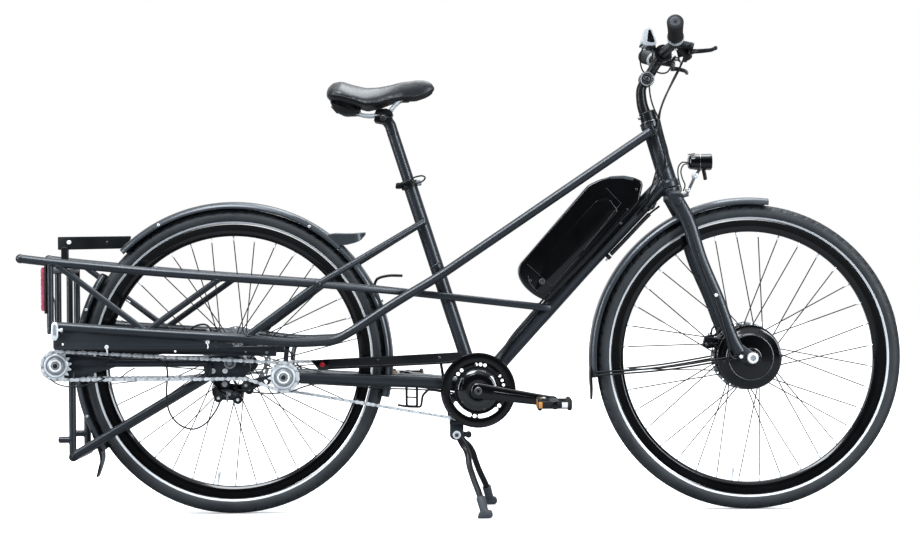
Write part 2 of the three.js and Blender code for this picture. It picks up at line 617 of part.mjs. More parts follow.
// ---------- swing frame ----------
{
  const side = join(
    plate([[-950, 351], [-944, 367], [-929, 374], [-905, 377], [-806, 366], [-804, 343], [-880, 321.5], [-915, 321.5], [-944, 335]], -86, -76),
    tube([[-815, -SWING_Y, 354.6], [-590, -SWING_Y, 353.6]], 9, 10),
    plate([[-597, 366], [-560, 371], [-520, 371], [-494, 356], [-490, 338], [-508, 316], [-586, 314], [-597, 330]], -77, -69),
    plate([[-597, 362], [-597, 340], [-586, 318], [-578, 330], [-580, 362]], -86, -74),
    tube([[-893, -SWING_Y, 145], [-588, -SWING_Y, 324]], 10, 10),
    tube([[-897, -SWING_Y, 330], [-897, -SWING_Y, 142]], 8.2, 10),
    rod([-895, -SWING_Y, 181], [-926, -SWING_Y, 181], 7.5, 10),
  );
  add("swing", "swing_frame",
    cut(
      join(side, mirror(side),
        rod([-895, -86, 142], [-895, 86, 142], 10.3, 12),
        disc(6, -92, 92, REAR, 16), disc(12, -90, -76, REAR, 16), disc(12, 76, 90, REAR, 16)),
      disc(9.8, -100, -50, PIVOT, 24),
      disc(9.8, 50, 100, PIVOT, 24),
    ), ...PAINT);
}
{
  const f = (d, r) => polar(REAR, r, d);
  const flap = loft(
    [[213, 366], [216.5, 378], [219.5, 404]].map(([d, r]) =>
      [[r, -24], [r + 3.5, -24], [r + 3.5, 24], [r, 24]].map(([q, y]) => V(f(d, q)[0], y, f(d, q)[1]))),
  );
  add("swing", "rear_fender_rear", guard(REAR, 146, 214, 8, flap, 28), ...PAINT);
}
add("swing", "derailleur",
  cut(
    join(
      plate([[-581, 300], [-574, 312.6], [-552, 312.6], [-545, 306], [-512, 300], [-510, 272], [-530, 266], [-572, 268], [-581, 280]], -66, -55.5),
      plate([[-560, 313], [-540, 313], [-540, 296], [-560, 296]], -76.5, -60),
      plate([[-530, 300], [-505, 306.8], [-486, 303], [-484, 294], [-500, 288], [-530, 280]], -66, -61),
    ),
    plate([[-600, 313.4], [-480, 313.4], [-480, 380], [-600, 380]], -80, -50),
  ), ...BLACK);
add("swing", "chain_rear", chain(belt(PIVOT, SPROCKET_R, REAR, SPROCKET_R, 12), -51, -44.5), ...STEEL);
add("swing", "rear_caliper",
  cut(
    loft([0, 1].map((s) => [[-18, -12], [-4, -17], [15, -10], [16, 6], [4, 15], [-16, 10]].map(([x, z]) => V(-601 + x, s ? 59 : 40.5, 408 + z)))),
    ring(0.01, 82.5, 44.8, 48.6, REAR, 32),
  ), ...BLACK);

// ---------- drive ----------
const pedalAxis = polar(BB, CRANK, -CRANK_DROP);
const pedalAxisL = polar(BB, CRANK, 180 - CRANK_DROP);
function crankArm(tip, y0, y1, boss0) {
  return join(
    tube([[BB[0], -y0, BB[1]], [(BB[0] + tip[0]) / 2, -(y0 + y1) / 2 - 2, (BB[1] + tip[1]) / 2], [tip[0], -y1, tip[1]]], (i) => [[6.5, 16], [6.5, 13.5], [6.5, 11]][i], 12),
    disc(17, -y0 - 7, -boss0, BB, 24),
    disc(12.5, -y1 - 6.5, -y1 + 6.5, tip, 20),
    disc(5.2, -206, -y1, tip, 14),
  );
}
add("crank", "crank_arm_right", crankArm(pedalAxis, 78, 96, 60.5), ...BLACK);
add("crank", "crank_arm_left",
  mirror(crankArm(pedalAxisL, 68, 92, 50)).add(disc(9.6, -60, 56, BB, 20)), ...BLACK);
add("crank", "chainring",
  turned([
    [11, -45.8], [24, -48.6], [68.4, -48.6], [68.4, -51.4], [62, -55.4], [86, -55.4], [86, -58.2], [49, -58.2], [46, -64], [36, -68.2], [17.6, -69.2], [17.6, -60.2], [11, -60.2], [11, -45.8],
  ], BB, 44), ...BLACK);
const pedalAt = (tip) => cut(
  join(
    disc(9, -204, -110, tip, 14),
    box(tip[0] - 38, tip[0] + 38, -203, -188, tip[1] - 12.5, tip[1] + 12.5),
    box(tip[0] - 38, tip[0] + 38, -126, -112, tip[1] - 12.5, tip[1] + 12.5),
    box(tip[0] - 38, tip[0] - 26, -203, -112, tip[1] - 10, tip[1] + 10),
    box(tip[0] + 26, tip[0] + 38, -203, -112, tip[1] - 10, tip[1] + 10),
    box(tip[0] - 30, tip[0] + 30, -164, -151, tip[1] - 6, tip[1] + 6),
  ),
  disc(5.7, -230, -60, tip, 14),
);
add("pedals", "pedal_right", pedalAt(pedalAxis), ...BLACK);
add("pedals", "pedal_left", mirror(pedalAt(pedalAxisL)), ...BLACK);

const shaft = (at, outer) => turned([
  [0, -43.6], [10, -45], [28.2, -45], [28.2, -50.6], [12, -50.6], [8.6, -52.6], [8.6, -95.2], [14, -98], [28.2, -98], [28.2, -102.4], [18, -102.4], [13, -109.5], [0, -109.5],
], at, 30);
const jackShaft = turned([
  [0, -44.6], [10, -47.5], [28.2, -47.5], [28.2, -53], [12, -53], [8.4, -56], [8.4, -95.4], [14, -98], [28.2, -98], [28.2, -102.4], [18, -102.4], [13, -109.5], [0, -109.5],
], JACK, 30);
add("sprockets", "jackshaft_sprocket", jackShaft, ...SILVER);
add("sprockets", "pivot_sprocket", shaft(PIVOT), ...SILVER);

// ---------- kickstand ----------
{
  const leg = (p) => tube(rounded(p, 10, 2), 7.2, 8);
  const right = leg([[-20, -28, 179], [-10, -31, 160], [3, -48, 134], [6, -62, 110], [30, -98, 46], [40, -117, 12]]);
  const left = leg([[-20, 28, 179], [-6, 31, 160], [14, 48, 130], [22, 62, 106], [46, 98, 48], [56, 117, 12]]);
  const footAt = (x, y) => plate([[x - 19, 0], [x + 10, 0], [x + 17, 6], [x + 14, 17], [x - 6, 20], [x - 15, 12]], y - 11, y + 11);
  add("stand", "kickstand",
    join(rod([STAND[0], -37.4, STAND[1]], [STAND[0], 37.4, STAND[1]], 7.6, 12), right, left, footAt(42, -119), footAt(57, 119)), ...BLACK);
}

// ---------- seat ----------
add("seat", "seatpost",
  join(
    rod(onSeat(-118), onSeat(190), 13.6, 16),
    tube([onSeat(-112), onSeat(-138), [-181, 0, 915]], [13.5, 13], 14),
    plate([[-208, 905], [-184, 900], [-166, 903], [-162, 922], [-178, 938], [-203, 936], [-212, 921]], -28, 28),
    ...[-22, 22].map((y) => tube([[-262, y, 928], [-244, y, 924], [-224, y, 919.5], [-196, y, 926], [-168, y, 937], [-152, y * 0.8, 951], [-142, y * 0.6, 955.3]], 3.6, 8)),
    plate([[-308, 952.4], [-297, 932], [-276, 921.5], [-246, 922], [-243, 929], [-252, 940.8], [-268, 950]], -34, 34),
  ), ...BLACK);
add("seat", "seat_qr_lever",
  join(
    rod([-151, 12, 757], [-151, -14, 757], 3.2, 8),
    tube([[-151, -12, 757], [-140, -26, 762], [-118, -31, 769], [-94, -31, 775]], [3.5, 6], 8),
  ).subtract(box(-180, -100, -10.2, 9.6, 740, 790)).subtract(box(-162, -140, 9, 40, 745, 770)), ...STEEL);

// Saddle: a closed padded shape, wings at the back and a nose in front.
{
  // x, half width, top z at the middle, lower edge z, crown drop at the edge
  const st = [
    [-316, 36, 972, 962, 3], [-313, 62, 984, 957.5, 9], [-300, 80, 996, 953.5, 16], [-280, 88, 996.5, 950, 20], [-255, 88, 991.5, 942, 24],
    [-225, 76, 987, 934, 24], [-196, 56, 987, 939, 22], [-168, 38, 990.5, 950, 17], [-140, 27, 998, 958.5, 14], [-110, 22, 1002, 958.5, 12], [-85, 18, 1000, 965, 11], [-72, 12, 992, 972, 8], [-67, 5, 985, 978, 3],
  ];
  const rings = st.map(([x, w, t, b, d]) => {
    const pts = [];
    const top = [[0, 0], [0.45, -0.12], [0.8, -0.5], [0.97, -1]];
    for (let i = 3; i >= 0; i--) pts.push(V(x, -w * top[i][0], t + d * top[i][1]));
    for (let i = 1; i < 4; i++) pts.push(V(x, w * top[i][0], t + d * top[i][1]));
    const low = Math.min(b, t - d - 2);
    pts.push(V(x, w * 0.99, low + (t - d - low) * 0.45));
    pts.push(V(x, w * 0.9, low));
    pts.push(V(x, w * 0.35, Math.min(low + 6, t - d - 1) + (b > 955 ? 0 : 11)));
    pts.push(V(x, -w * 0.35, Math.min(low + 6, t - d - 1) + (b > 955 ? 0 : 11)));
    pts.push(V(x, -w * 0.9, low));
    pts.push(V(x, -w * 0.99, low + (t - d - low) * 0.45));
    return pts;
  });
  const cap = (r) => r.map((p) => new THREE.Vector2(p.y, p.z));
  let s = loft(rings, cap(rings[0]));
  s = s.subtract(plate([[-312, 956], [-300, 930], [-276, 918], [-242, 918], [-238, 929], [-250, 944], [-268, 954], [-290, 957]], -34.6, 34.6));
  s = s.subtract(plate([[-215, 950], [-160, 950], [-160, 900], [-215, 900]], -29, 29));
  for (const y of [-22, 22])
    s = s.subtract(tube([[-270, y, 930], [-244, y, 924], [-224, y, 919.5], [-196, y, 926], [-168, y, 937], [-152, y * 0.8, 951], [-138, y * 0.56, 957]], 4.4, 8));
  add("seat", "saddle", s, 0x1c1d20, 0.6, 0);
}

export default bicycle;
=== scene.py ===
import json
import math

import bmesh
import bpy
import numpy as np
from mathutils import Matrix, Vector
from mathutils.geometry import tessellate_polygon


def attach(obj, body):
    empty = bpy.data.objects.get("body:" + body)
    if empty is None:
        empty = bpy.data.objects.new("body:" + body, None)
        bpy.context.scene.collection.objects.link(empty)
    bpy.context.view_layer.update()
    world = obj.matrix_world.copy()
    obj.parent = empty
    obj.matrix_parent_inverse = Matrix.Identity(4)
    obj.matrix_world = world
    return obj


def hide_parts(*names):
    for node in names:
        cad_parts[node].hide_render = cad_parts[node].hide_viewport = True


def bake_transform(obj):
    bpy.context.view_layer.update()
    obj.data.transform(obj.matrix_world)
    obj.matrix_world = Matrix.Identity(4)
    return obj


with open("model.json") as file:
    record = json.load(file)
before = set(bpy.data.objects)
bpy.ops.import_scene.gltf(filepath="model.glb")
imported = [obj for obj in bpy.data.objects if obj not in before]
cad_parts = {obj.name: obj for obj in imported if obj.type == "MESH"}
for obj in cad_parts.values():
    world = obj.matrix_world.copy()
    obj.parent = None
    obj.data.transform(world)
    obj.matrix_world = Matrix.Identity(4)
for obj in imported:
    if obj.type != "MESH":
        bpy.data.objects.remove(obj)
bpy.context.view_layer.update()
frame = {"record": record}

MM = 0.001

# ---------------------------------------------------------------- dimensions (mm)
WHEEL_R, RIM_IN, RIM_OUT = 353, 290, 317.5
FRONT, REAR = (656, 353), (-537.7, 353)
PIVOT, JACK, BB = (-929.3, 351), (-413, 320.3), (28, 284)
RAIL_Y, SWING_Y = 138, 80
HEAD_TOP, HEAD_BOT = (432.7, 898.8), (477.7, 747.3)
SEAT_TOP = (-128.5, 766)
STAND = (-22, 181)


# ---------------------------------------------------------------- geometry kit
def A(p):
    return np.array(p, float)


def unit(v):
    v = A(v)
    return v / max(np.linalg.norm(v), 1e-12)


def polar(c, r, d):
    return (c[0] + r * math.cos(math.radians(d)), c[1] + r * math.sin(math.radians(d)))


def rounded(points, r, steps=8):
    """A polyline with its inner corners rounded."""
    p = [A(q) for q in points]
    out = [p[0]]
    for i in range(1, len(p) - 1):
        a, b = p[i - 1] - p[i], p[i + 1] - p[i]
        d = min(r, 0.45 * np.linalg.norm(a), 0.45 * np.linalg.norm(b))
        s, e = p[i] + unit(a) * d, p[i] + unit(b) * d
        for k in range(steps + 1):
            t = k / steps
            out.append((1 - t) ** 2 * s + 2 * t * (1 - t) * p[i] + t * t * e)
    out.append(p[-1])
    return out


def fillet(points, r, steps=4):
    """A closed outline with every corner rounded."""
    p = [A(q) for q in points]
    n, out = len(p), []
    for i in range(n):
        a, b = p[i - 1] - p[i], p[(i + 1) % n] - p[i]
        la, lb = np.linalg.norm(a), np.linalg.norm(b)
        d = min(r, 0.45 * la, 0.45 * lb)
        s, e = p[i] + a / la * d, p[i] + b / lb * d
        for k in range(steps + 1):
            t = k / steps
            out.append(tuple((1 - t) ** 2 * s + 2 * t * (1 - t) * p[i] + t * t * e))
    return out


def smooth(points, n):
    """n + 1 evenly spaced points on a centripetal spline through the given ones."""
    p = [A(q) for q in points]
    p = [2 * p[0] - p[1]] + p + [2 * p[-1] - p[-2]]
    fine = []
    for i in range(1, len(p) - 2):
        p0, p1, p2, p3 = p[i - 1 : i + 3]
        t0 = 0.0
        t1 = t0 + np.linalg.norm(p1 - p0) ** 0.5
        t2 = t1 + np.linalg.norm(p2 - p1) ** 0.5
        t3 = t2 + np.linalg.norm(p3 - p2) ** 0.5
        for k in range(24):
            t = t1 + (t2 - t1) * k / 24
            a1 = (t1 - t) / (t1 - t0) * p0 + (t - t0) / (t1 - t0) * p1
            a2 = (t2 - t) / (t2 - t1) * p1 + (t - t1) / (t2 - t1) * p2
            a3 = (t3 - t) / (t3 - t2) * p2 + (t - t2) / (t3 - t2) * p3
            b1 = (t2 - t) / (t2 - t0) * a1 + (t - t0) / (t2 - t0) * a2
            b2 = (t3 - t) / (t3 - t1) * a2 + (t - t1) / (t3 - t1) * a3
            fine.append((t2 - t) / (t2 - t1) * b1 + (t - t1) / (t2 - t1) * b2)
    fine.append(p[-2])
    fine = A(fine)
    s = np.concatenate([[0], np.cumsum(np.linalg.norm(np.diff(fine, axis=0), axis=1))])
    at = np.linspace(0, s[-1], n + 1)
    return [A([np.interp(x, s, fine[:, k]) for k in range(3)]) for x in at]


def tangents(p, closed=False):
    n, out = len(p), []
    for i in range(n):
        a = p[i - 1] if (i or closed) else None
        b = p[(i + 1) % n] if (i < n - 1 or closed) else None
        if a is None:
            out.append(unit(b - p[i]))
        elif b is None:
            out.append(unit(p[i] - a))
        else:
            out.append(unit(unit(p[i] - a) + unit(b - p[i])))
    return out


def tube(points, r, sides=20, ref=(0, 1, 0), closed=False, power=2.0, cap=0.0):
    """A tube along points. r is a number, (across ref, other way), a list or a function of the point's share 0..1.
    ref None carries the frame along. power over 2 squares the section. cap rounds the ends by that length."""
    p = [A(q) for q in points]
    n = len(p)
    if ref is not None:
        ref = A(ref)
    if cap and not closed:
        t = tangents(p)
        lead, tail, scale = [], [], []
        for k in (0, 1, 2):
            f = math.radians(90 - 30 * k)
            lead.append(p[0] + t[0] * cap * (1 - math.sin(f)))
            scale.append(max(math.cos(f), 0.02))
        for k in (2, 1, 0):
            f = math.radians(90 - 30 * k)
            tail.append(p[-1] - t[-1] * cap * (1 - math.sin(f)))
        body = [q for q in p[1:-1] if np.linalg.norm(q - p[0]) > cap and np.linalg.norm(q - p[-1]) > cap]
        shares = None
        p = lead + [p[0] + t[0] * cap] + body + [p[-1] - t[-1] * cap] + tail
        scale = scale + [1] * (len(body) + 2) + scale[::-1]
        n = len(p)
    else:
        scale = [1] * n
    t = tangents(p, closed)
    s = np.concatenate([[0], np.cumsum([np.linalg.norm(p[i + 1] - p[i]) for i in range(n - 1)])])
    s = s / max(s[-1], 1e-9)
    if ref is None:
        u = np.cross(t[0], (0.13, 0.87, 0.31))
        us = [unit(u)]
        for i in range(1, n):
            v = us[-1] - t[i] * np.dot(us[-1], t[i])
            us.append(unit(v))
    else:
        us = [unit(ref - ti * np.dot(ref, ti)) for ti in t]
    f = 2 * math.pi * (np.arange(sides) + 0.5) / sides
    c, q = np.cos(f), np.sin(f)
    if power != 2:
        c, q = np.sign(c) * abs(c) ** (2 / power), np.sign(q) * abs(q) ** (2 / power)
    rings = []
    for i in range(n):
        rr = r(s[i]) if callable(r) else (r[i] if isinstance(r, list) else r)
        a, b = (rr, rr) if np.isscalar(rr) else rr
        w = np.cross(t[i], us[i])
        rings.append(p[i] + scale[i] * (np.outer(a * c, us[i]) + np.outer(b * q, w)))
    return loft(rings, closed)


def loft(rings, closed=False):
    m, n = len(rings), len(rings[0])
    v = np.concatenate([A(x) for x in rings])
    faces = []
    for i in range(m if closed else m - 1):
        a, b = i * n, ((i + 1) % m) * n
        for j in range(n):
            k = (j + 1) % n
            faces.append((a + j, a + k, b + k, b + j))
    if not closed:
        faces.append(tuple(range(n - 1, -1, -1)))
        faces.append(tuple(range((m - 1) * n, m * n)))
    return v, faces


def turn(profile, origin=(0, 0, 0), axis=(0, 1, 0), seg=96, closed=False, wave=None):
    """A surface of revolution of (r, t) points about a line. wave(angle, r, t) may change r."""
    axis = unit(axis)
    origin = A(origin)
    u = unit(np.cross(axis, (0.0, 0.0, 1.0) if abs(axis[2]) < 0.9 else (1.0, 0.0, 0.0)))
    w = np.cross(axis, u)
    ang = 2 * math.pi * np.arange(seg) / seg
    verts, index = [], []
    for r, t in profile:
        if r < 1e-6:
            index.append(("p", len(verts)))
            verts.append(origin + axis * t)
        else:
            index.append(("r", len(verts)))
            for f in ang:
                rr = wave(f, r, t) if wave else r
                verts.append(origin + axis * t + u * rr * math.cos(f) + w * rr * math.sin(f))
    faces = []
    pairs = list(zip(index, index[1:])) + ([(index[-1], index[0])] if closed else [])
    for (ka, a), (kb, b) in pairs:
        for j in range(seg):
            k = (j + 1) % seg
            if ka == "r" and kb == "r":
                faces.append((a + j, a + k, b + k, b + j))
            elif ka == "r":
                faces.append((a + j, a + k, b))
            elif kb == "r":
                faces.append((a, b + k, b + j))
    if not closed:
        if index[0][0] == "r":
            faces.append(tuple(range(index[0][1] + seg - 1, index[0][1] - 1, -1)))
        if index[-1][0] == "r":
            faces.append(tuple(range(index[-1][1], index[-1][1] + seg)))
    return A(verts), faces


def soft(profile, r, steps=3, closed=False):
    """A lathe profile with its corners rounded."""
    if closed:
        return [tuple(q) for q in fillet(profile, r, steps)]
    return [tuple(q) for q in rounded(profile, r, steps)]


def about(c, profile, seg=96, closed=False, wave=None):
    """turn() about the line along Y through (x, z)."""
    return turn(profile, (c[0], 0, c[1]), (0, 1, 0), seg, closed, wave)


def disc(c, r, y0, y1, seg=48, edge=0.6):
    e = min(edge, (y1 - y0) * 0.4, r * 0.4)
    return about(c, [(0, y0), (r - e, y0), (r - 0.3 * e, y0 + 0.3 * e), (r, y0 + e), (r, y1 - e), (r - 0.3 * e, y1 - 0.3 * e), (r - e, y1), (0, y1)], seg)


def ring(c, r0, r1, y0, y1, seg=64, edge=0.5):
    return about(c, soft([(r0, y0), (r1, y0), (r1, y1), (r0, y1)], edge, 2, True), seg, True)


def inset(loop, d):
    p = A(loop)
    nxt, prv = np.roll(p, -1, 0), np.roll(p, 1, 0)
    e1, e2 = p - prv, nxt - p
    e1 /= np.maximum(np.linalg.norm(e1, axis=1), 1e-9)[:, None]
    e2 /= np.maximum(np.linalg.norm(e2, axis=1), 1e-9)[:, None]
    n = np.stack([-(e1[:, 1] + e2[:, 1]), e1[:, 0] + e2[:, 0]], 1)
    n /= np.maximum(np.linalg.norm(n, axis=1), 1e-9)[:, None]
    k = np.maximum(np.sum(n * np.stack([-e1[:, 1], e1[:, 0]], 1), 1), 0.5)
    return p + n * (d / k)[:, None]


def area(loop):
    p = A(loop)
    q = np.roll(p, -1, 0)
    return 0.5 * np.sum(p[:, 0] * q[:, 1] - q[:, 0] * p[:, 1])


def plate(outline, y0, y1, holes=(), bevel=0.5):
    """A flat piece in the XZ plane with softened edges. outline and holes are (x, z) loops."""
    bevel = min(bevel, (y1 - y0) * 0.45)
    loops = []
    for i, l in enumerate([outline, *holes]):
        l = [tuple(map(float, q)) for q in l]
        if (area(l) < 0) != (i > 0):
            l = l[::-1]
        loops.append(A(l))
    verts, faces, levels = [], [], []
    start = 0
    offs = [(bevel, y0), (0.3 * bevel, y0 + 0.3 * bevel), (0, y0 + bevel), (0, y1 - bevel), (0.3 * bevel, y1 - 0.3 * bevel), (bevel, y1)] if bevel > 0 else [(0, y0), (0, y1)]
    for d, y in offs:
        level = []
        for l in loops:
            q = inset(l, d) if d else l
            level.append((len(verts), len(q)))
            verts.extend([(x, y, z) for x, z in q])
        levels.append(level)
    for lo, hi in zip(levels, levels[1:]):
        for (a, n), (b, _) in zip(lo, hi):
            for j in range(n):
                k = (j + 1) % n
                faces.append((a + j, b + j, b + k, a + k))
    for level, up in ((levels[0], False), (levels[-1], True)):
        idx = [a + j for a, n in level for j in range(n)]
        if len(loops) == 1:
            faces.append(tuple(idx[::-1] if up else idx))
        else:
            tri = tessellate_polygon([[Vector((verts[a + j][0], verts[a + j][2], 0)) for j in range(n)] for a, n in level])
            for t in tri:
                a, b, c = (idx[i] for i in t)
                pa, pb, pc = A(verts[a]), A(verts[b]), A(verts[c])
                ny = np.cross(pb - pa, pc - pa)[1]
                if abs(ny) < 1e-9:
                    continue
                faces.append((a, b, c) if (ny > 0) == up else (a, c, b))
    return A(verts), faces


def circle(c, r, n=32, start=0):
    return [polar(c, r, start + 360 * i / n) for i in range(n)]


def rbox(x0, x1, y0, y1, z0, z1, r=1.5, seg=3):
    bm = bmesh.new()
    bmesh.ops.create_cube(bm, size=1)
    for v in bm.verts:
        v.co = Vector(((x0 + x1) / 2 + v.co.x * (x1 - x0), (y0 + y1) / 2 + v.co.y * (y1 - y0), (z0 + z1) / 2 + v.co.z * (z1 - z0)))
    r = min(r, 0.45 * min(x1 - x0, y1 - y0, z1 - z0))
    bmesh.ops.bevel(bm, geom=bm.edges[:], offset=r, segments=seg, profile=0.5, affect="EDGES")
    out = take(bm)
    bm.free()
    return out


def take(bm):
    bm.verts.index_update()
    return A([v.co[:] for v in bm.verts]), [tuple(v.index for v in f.verts) for f in bm.faces]


def ball(c, r, seg=24):
    r = (r, r, r) if np.isscalar(r) else r
    prof = [(math.sin(math.pi * i / 12), -math.cos(math.pi * i / 12)) for i in range(13)]
    prof[0], prof[-1] = (0, -1), (0, 1)
    v, f = turn(prof, (0, 0, 0), (0, 1, 0), seg)
    return v * A(r) + A(c), f


def move(part, m):
    v, f = part
    m = A(m)
    v = v @ m[:3, :3].T + m[:3, 3]
    if np.linalg.det(m[:3, :3]) < 0:
        f = [tuple(reversed(q)) for q in f]
    return v, f


def flip(part):
    """The piece mirrored to the other side of the centre plane."""
    return move(part, np.diag([1.0, -1.0, 1.0, 1.0]))


def both(parts):
    return parts + [flip(p) for p in parts]


def place(part, at, axis, up=(0, 0, 1)):
    """A part made about its own +Y line, put with +Y along axis at a point."""
    y = unit(axis)
    x = np.cross(y, up)
    if np.linalg.norm(x) < 1e-6:
        x = np.cross(y, (1.0, 0, 0))
    x = unit(x)
    z = np.cross(x, y)
    m = np.eye(4)
    m[:3, 0], m[:3, 1], m[:3, 2], m[:3, 3] = x, y, z, at
    return move(part, m)


def bolt(at, axis, r=4.0, h=3.2, socket=True):
    """A round-headed socket screw: the head stands h proud of the point along the axis."""
    n = 24
    f = 2 * math.pi * np.arange(n) / n

    def rnd(rr, y):
        return np.stack([rr * np.cos(f), np.full(n, y), -rr * np.sin(f)], 1)

    rings = [rnd(r, -1.0), rnd(r, h * 0.55), rnd(r * 0.93, h * 0.85), rnd(r * 0.78, h)]
    if socket:
        k = r * 0.5 / np.cos((f + math.pi / 6) % (math.pi / 3) - math.pi / 6)
        hexa = lambda y: np.stack([k * np.cos(f), np.full(n, y), -k * np.sin(f)], 1)
        rings += [hexa(h), hexa(h * 0.35)]
    else:
        rings += [rnd(r * 0.4, h * 1.08)]
    v, faces = loft(rings)
    return place((v, faces), at, axis)


def nut(at, axis, r=6.0, h=5.0, bore=0.0):
    n = 24
    f = 2 * math.pi * np.arange(n) / n
    k = r * math.cos(math.pi / 6) / np.cos((f + math.pi / 6) % (math.pi / 3) - math.pi / 6)
    hexa = lambda y, s=1.0: np.stack([s * k * np.cos(f), np.full(n, y), -s * k * np.sin(f)], 1)
    rnd = lambda rr, y: np.stack([rr * np.cos(f), np.full(n, y), -rr * np.sin(f)], 1)
    return place(loft([hexa(-0.5), hexa(h * 0.82), rnd(r * 0.84, h), rnd(r * 0.45, h), rnd(r * 0.42, h + 1.6)]), at, axis)


def weld(pa, da, ra, pb, db, rb, bead=1.9, n=72):
    """A weld bead where a tube that runs along db from pb meets the side of a tube along da."""
    pa, pb, da, db = A(pa), A(pb), unit(da), unit(db)
    u = unit(np.cross(db, da))
    w = np.cross(db, u)
    ra2 = ra
    pts = []
    rb = (rb, rb) if np.isscalar(rb) else rb
    for i in range(n):
        f = 2 * math.pi * i / n
        q = pb + u * rb[0] * math.cos(f) + w * rb[1] * math.sin(f)
        d0 = q - pa - da * np.dot(q - pa, da)
        d1 = db - da * np.dot(db, da)
        a, b, c = d1 @ d1, 2 * d0 @ d1, d0 @ d0 - ra2 * ra2
        disc_ = max(b * b - 4 * a * c, 0)
        s = (-b - math.sqrt(disc_)) / (2 * a)
        pts.append(q + db * s)
    rr = [bead * (1 + 0.16 * math.sin(i * 2 * math.pi * 18 / n)) for i in range(n)]
    return tube(pts, rr, 8, ref=db, closed=True)


# ---------------------------------------------------------------- materials
def nodes_of(name):
    m = bpy.data.materials.new(name)
    m.use_nodes = True
    nt = m.node_tree
    nt.nodes.clear()
    out = nt.nodes.new("ShaderNodeOutputMaterial")
    b = nt.nodes.new("ShaderNodeBsdfPrincipled")
    nt.links.new(b.outputs[0], out.inputs[0])
    tc = nt.nodes.new("ShaderNodeTexCoord")
    return m, nt, b, tc


def noise_node(nt, tc, scale, detail=4, rough=0.55, stretch=None):
    n = nt.nodes.new("ShaderNodeTexNoise")
    n.inputs["Scale"].default_value = scale
    n.inputs["Detail"].default_value = detail
    n.inputs["Roughness"].default_value = rough
    if stretch:
        mp = nt.nodes.new("ShaderNodeMapping")
        mp.inputs["Scale"].default_value = stretch
        nt.links.new(tc.outputs["Object"], mp.inputs["Vector"])
        nt.links.new(mp.outputs[0], n.inputs["Vector"])
    else:
        nt.links.new(tc.outputs["Object"], n.inputs["Vector"])
    return n


def ramp(nt, fac, stops):
    r = nt.nodes.new("ShaderNodeValToRGB")
    e = r.color_ramp.elements
    while len(e) < len(stops):
        e.new(0.5)
    for el, (pos, col) in zip(e, stops):
        el.position = pos
        el.color = (*col, 1) if len(col) == 3 else col
    nt.links.new(fac, r.inputs[0])
    return r


def spread(nt, fac, lo, hi, a=0.3, b=0.7):
    r = nt.nodes.new("ShaderNodeMapRange")
    r.inputs["From Min"].default_value = a
    r.inputs["From Max"].default_value = b
    r.inputs["To Min"].default_value = lo
    r.inputs["To Max"].default_value = hi
    nt.links.new(fac, r.inputs["Value"])
    return r


def finish(name, base, rough, metal=0.0, vary=0.18, patch=6.0, grain=900.0, bump=0.05, depth=0.0002, coat=0.0, coat_rough=0.15,
           specular=0.36, rough_vary=0.12, stretch=None, sheen=0.0, emission=None, transmission=0.0, ior=None, scuff=0.0, scuff_color=None):
    m, nt, b, tc = nodes_of(name)
    big = noise_node(nt, tc, patch, 5)
    fine = noise_node(nt, tc, grain, 3, stretch=stretch)
    base = A(base)
    lo, hi = np.clip(base * (1 - vary), 0, 1), np.clip(base * (1 + vary) + 0.0004, 0, 1)
    col = ramp(nt, big.outputs[0], [(0.32, tuple(lo)), (0.68, tuple(hi))])
    last = col.outputs[0]
    if scuff:
        sc = noise_node(nt, tc, 55, 8, 0.7)
        mask = ramp(nt, sc.outputs[0], [(0.62, (0, 0, 0)), (0.74, (scuff,) * 3)])
        mix = nt.nodes.new("ShaderNodeMix")
        mix.data_type = "RGBA"
        mix.inputs[7].default_value = (*(scuff_color or tuple(np.clip(base * 2.5 + 0.03, 0, 1))), 1)
        nt.links.new(mask.outputs[0], mix.inputs[0])
        nt.links.new(last, mix.inputs[6])
        last = mix.outputs[2]
    nt.links.new(last, b.inputs["Base Color"])
    rg = spread(nt, big.outputs[0], max(rough - rough_vary * rough, 0.02), min(rough + rough_vary * rough, 1))
    if bump > 0 and rough_vary:
        add = nt.nodes.new("ShaderNodeMath")
        add.operation = "MULTIPLY_ADD"
        add.inputs[1].default_value = 0.10
        nt.links.new(fine.outputs[0], add.inputs[0])
        nt.links.new(rg.outputs[0], add.inputs[2])
        sub = nt.nodes.new("ShaderNodeMath")
        sub.operation = "SUBTRACT"
        sub.inputs[1].default_value = 0.05
        nt.links.new(add.outputs[0], sub.inputs[0])
        nt.links.new(sub.outputs[0], b.inputs["Roughness"])
    else:
        nt.links.new(rg.outputs[0], b.inputs["Roughness"])
    b.inputs["Metallic"].default_value = metal
    b.inputs["Specular IOR Level"].default_value = specular
    b.inputs["Coat Weight"].default_value = coat
    b.inputs["Coat Roughness"].default_value = coat_rough
    b.inputs["Sheen Weight"].default_value = sheen
    if transmission:
        b.inputs["Transmission Weight"].default_value = transmission
    if ior:
        b.inputs["IOR"].default_value = ior
    if emission:
        b.inputs["Emission Color"].default_value = (*emission[:3], 1)
        b.inputs["Emission Strength"].default_value = emission[3]
    if bump > 0:
        bp = nt.nodes.new("ShaderNodeBump")
        bp.inputs["Strength"].default_value = bump
        bp.inputs["Distance"].default_value = depth
        nt.links.new(fine.outputs[0], bp.inputs["Height"])
        nt.links.new(bp.outputs[0], b.inputs["Normal"])
    return m


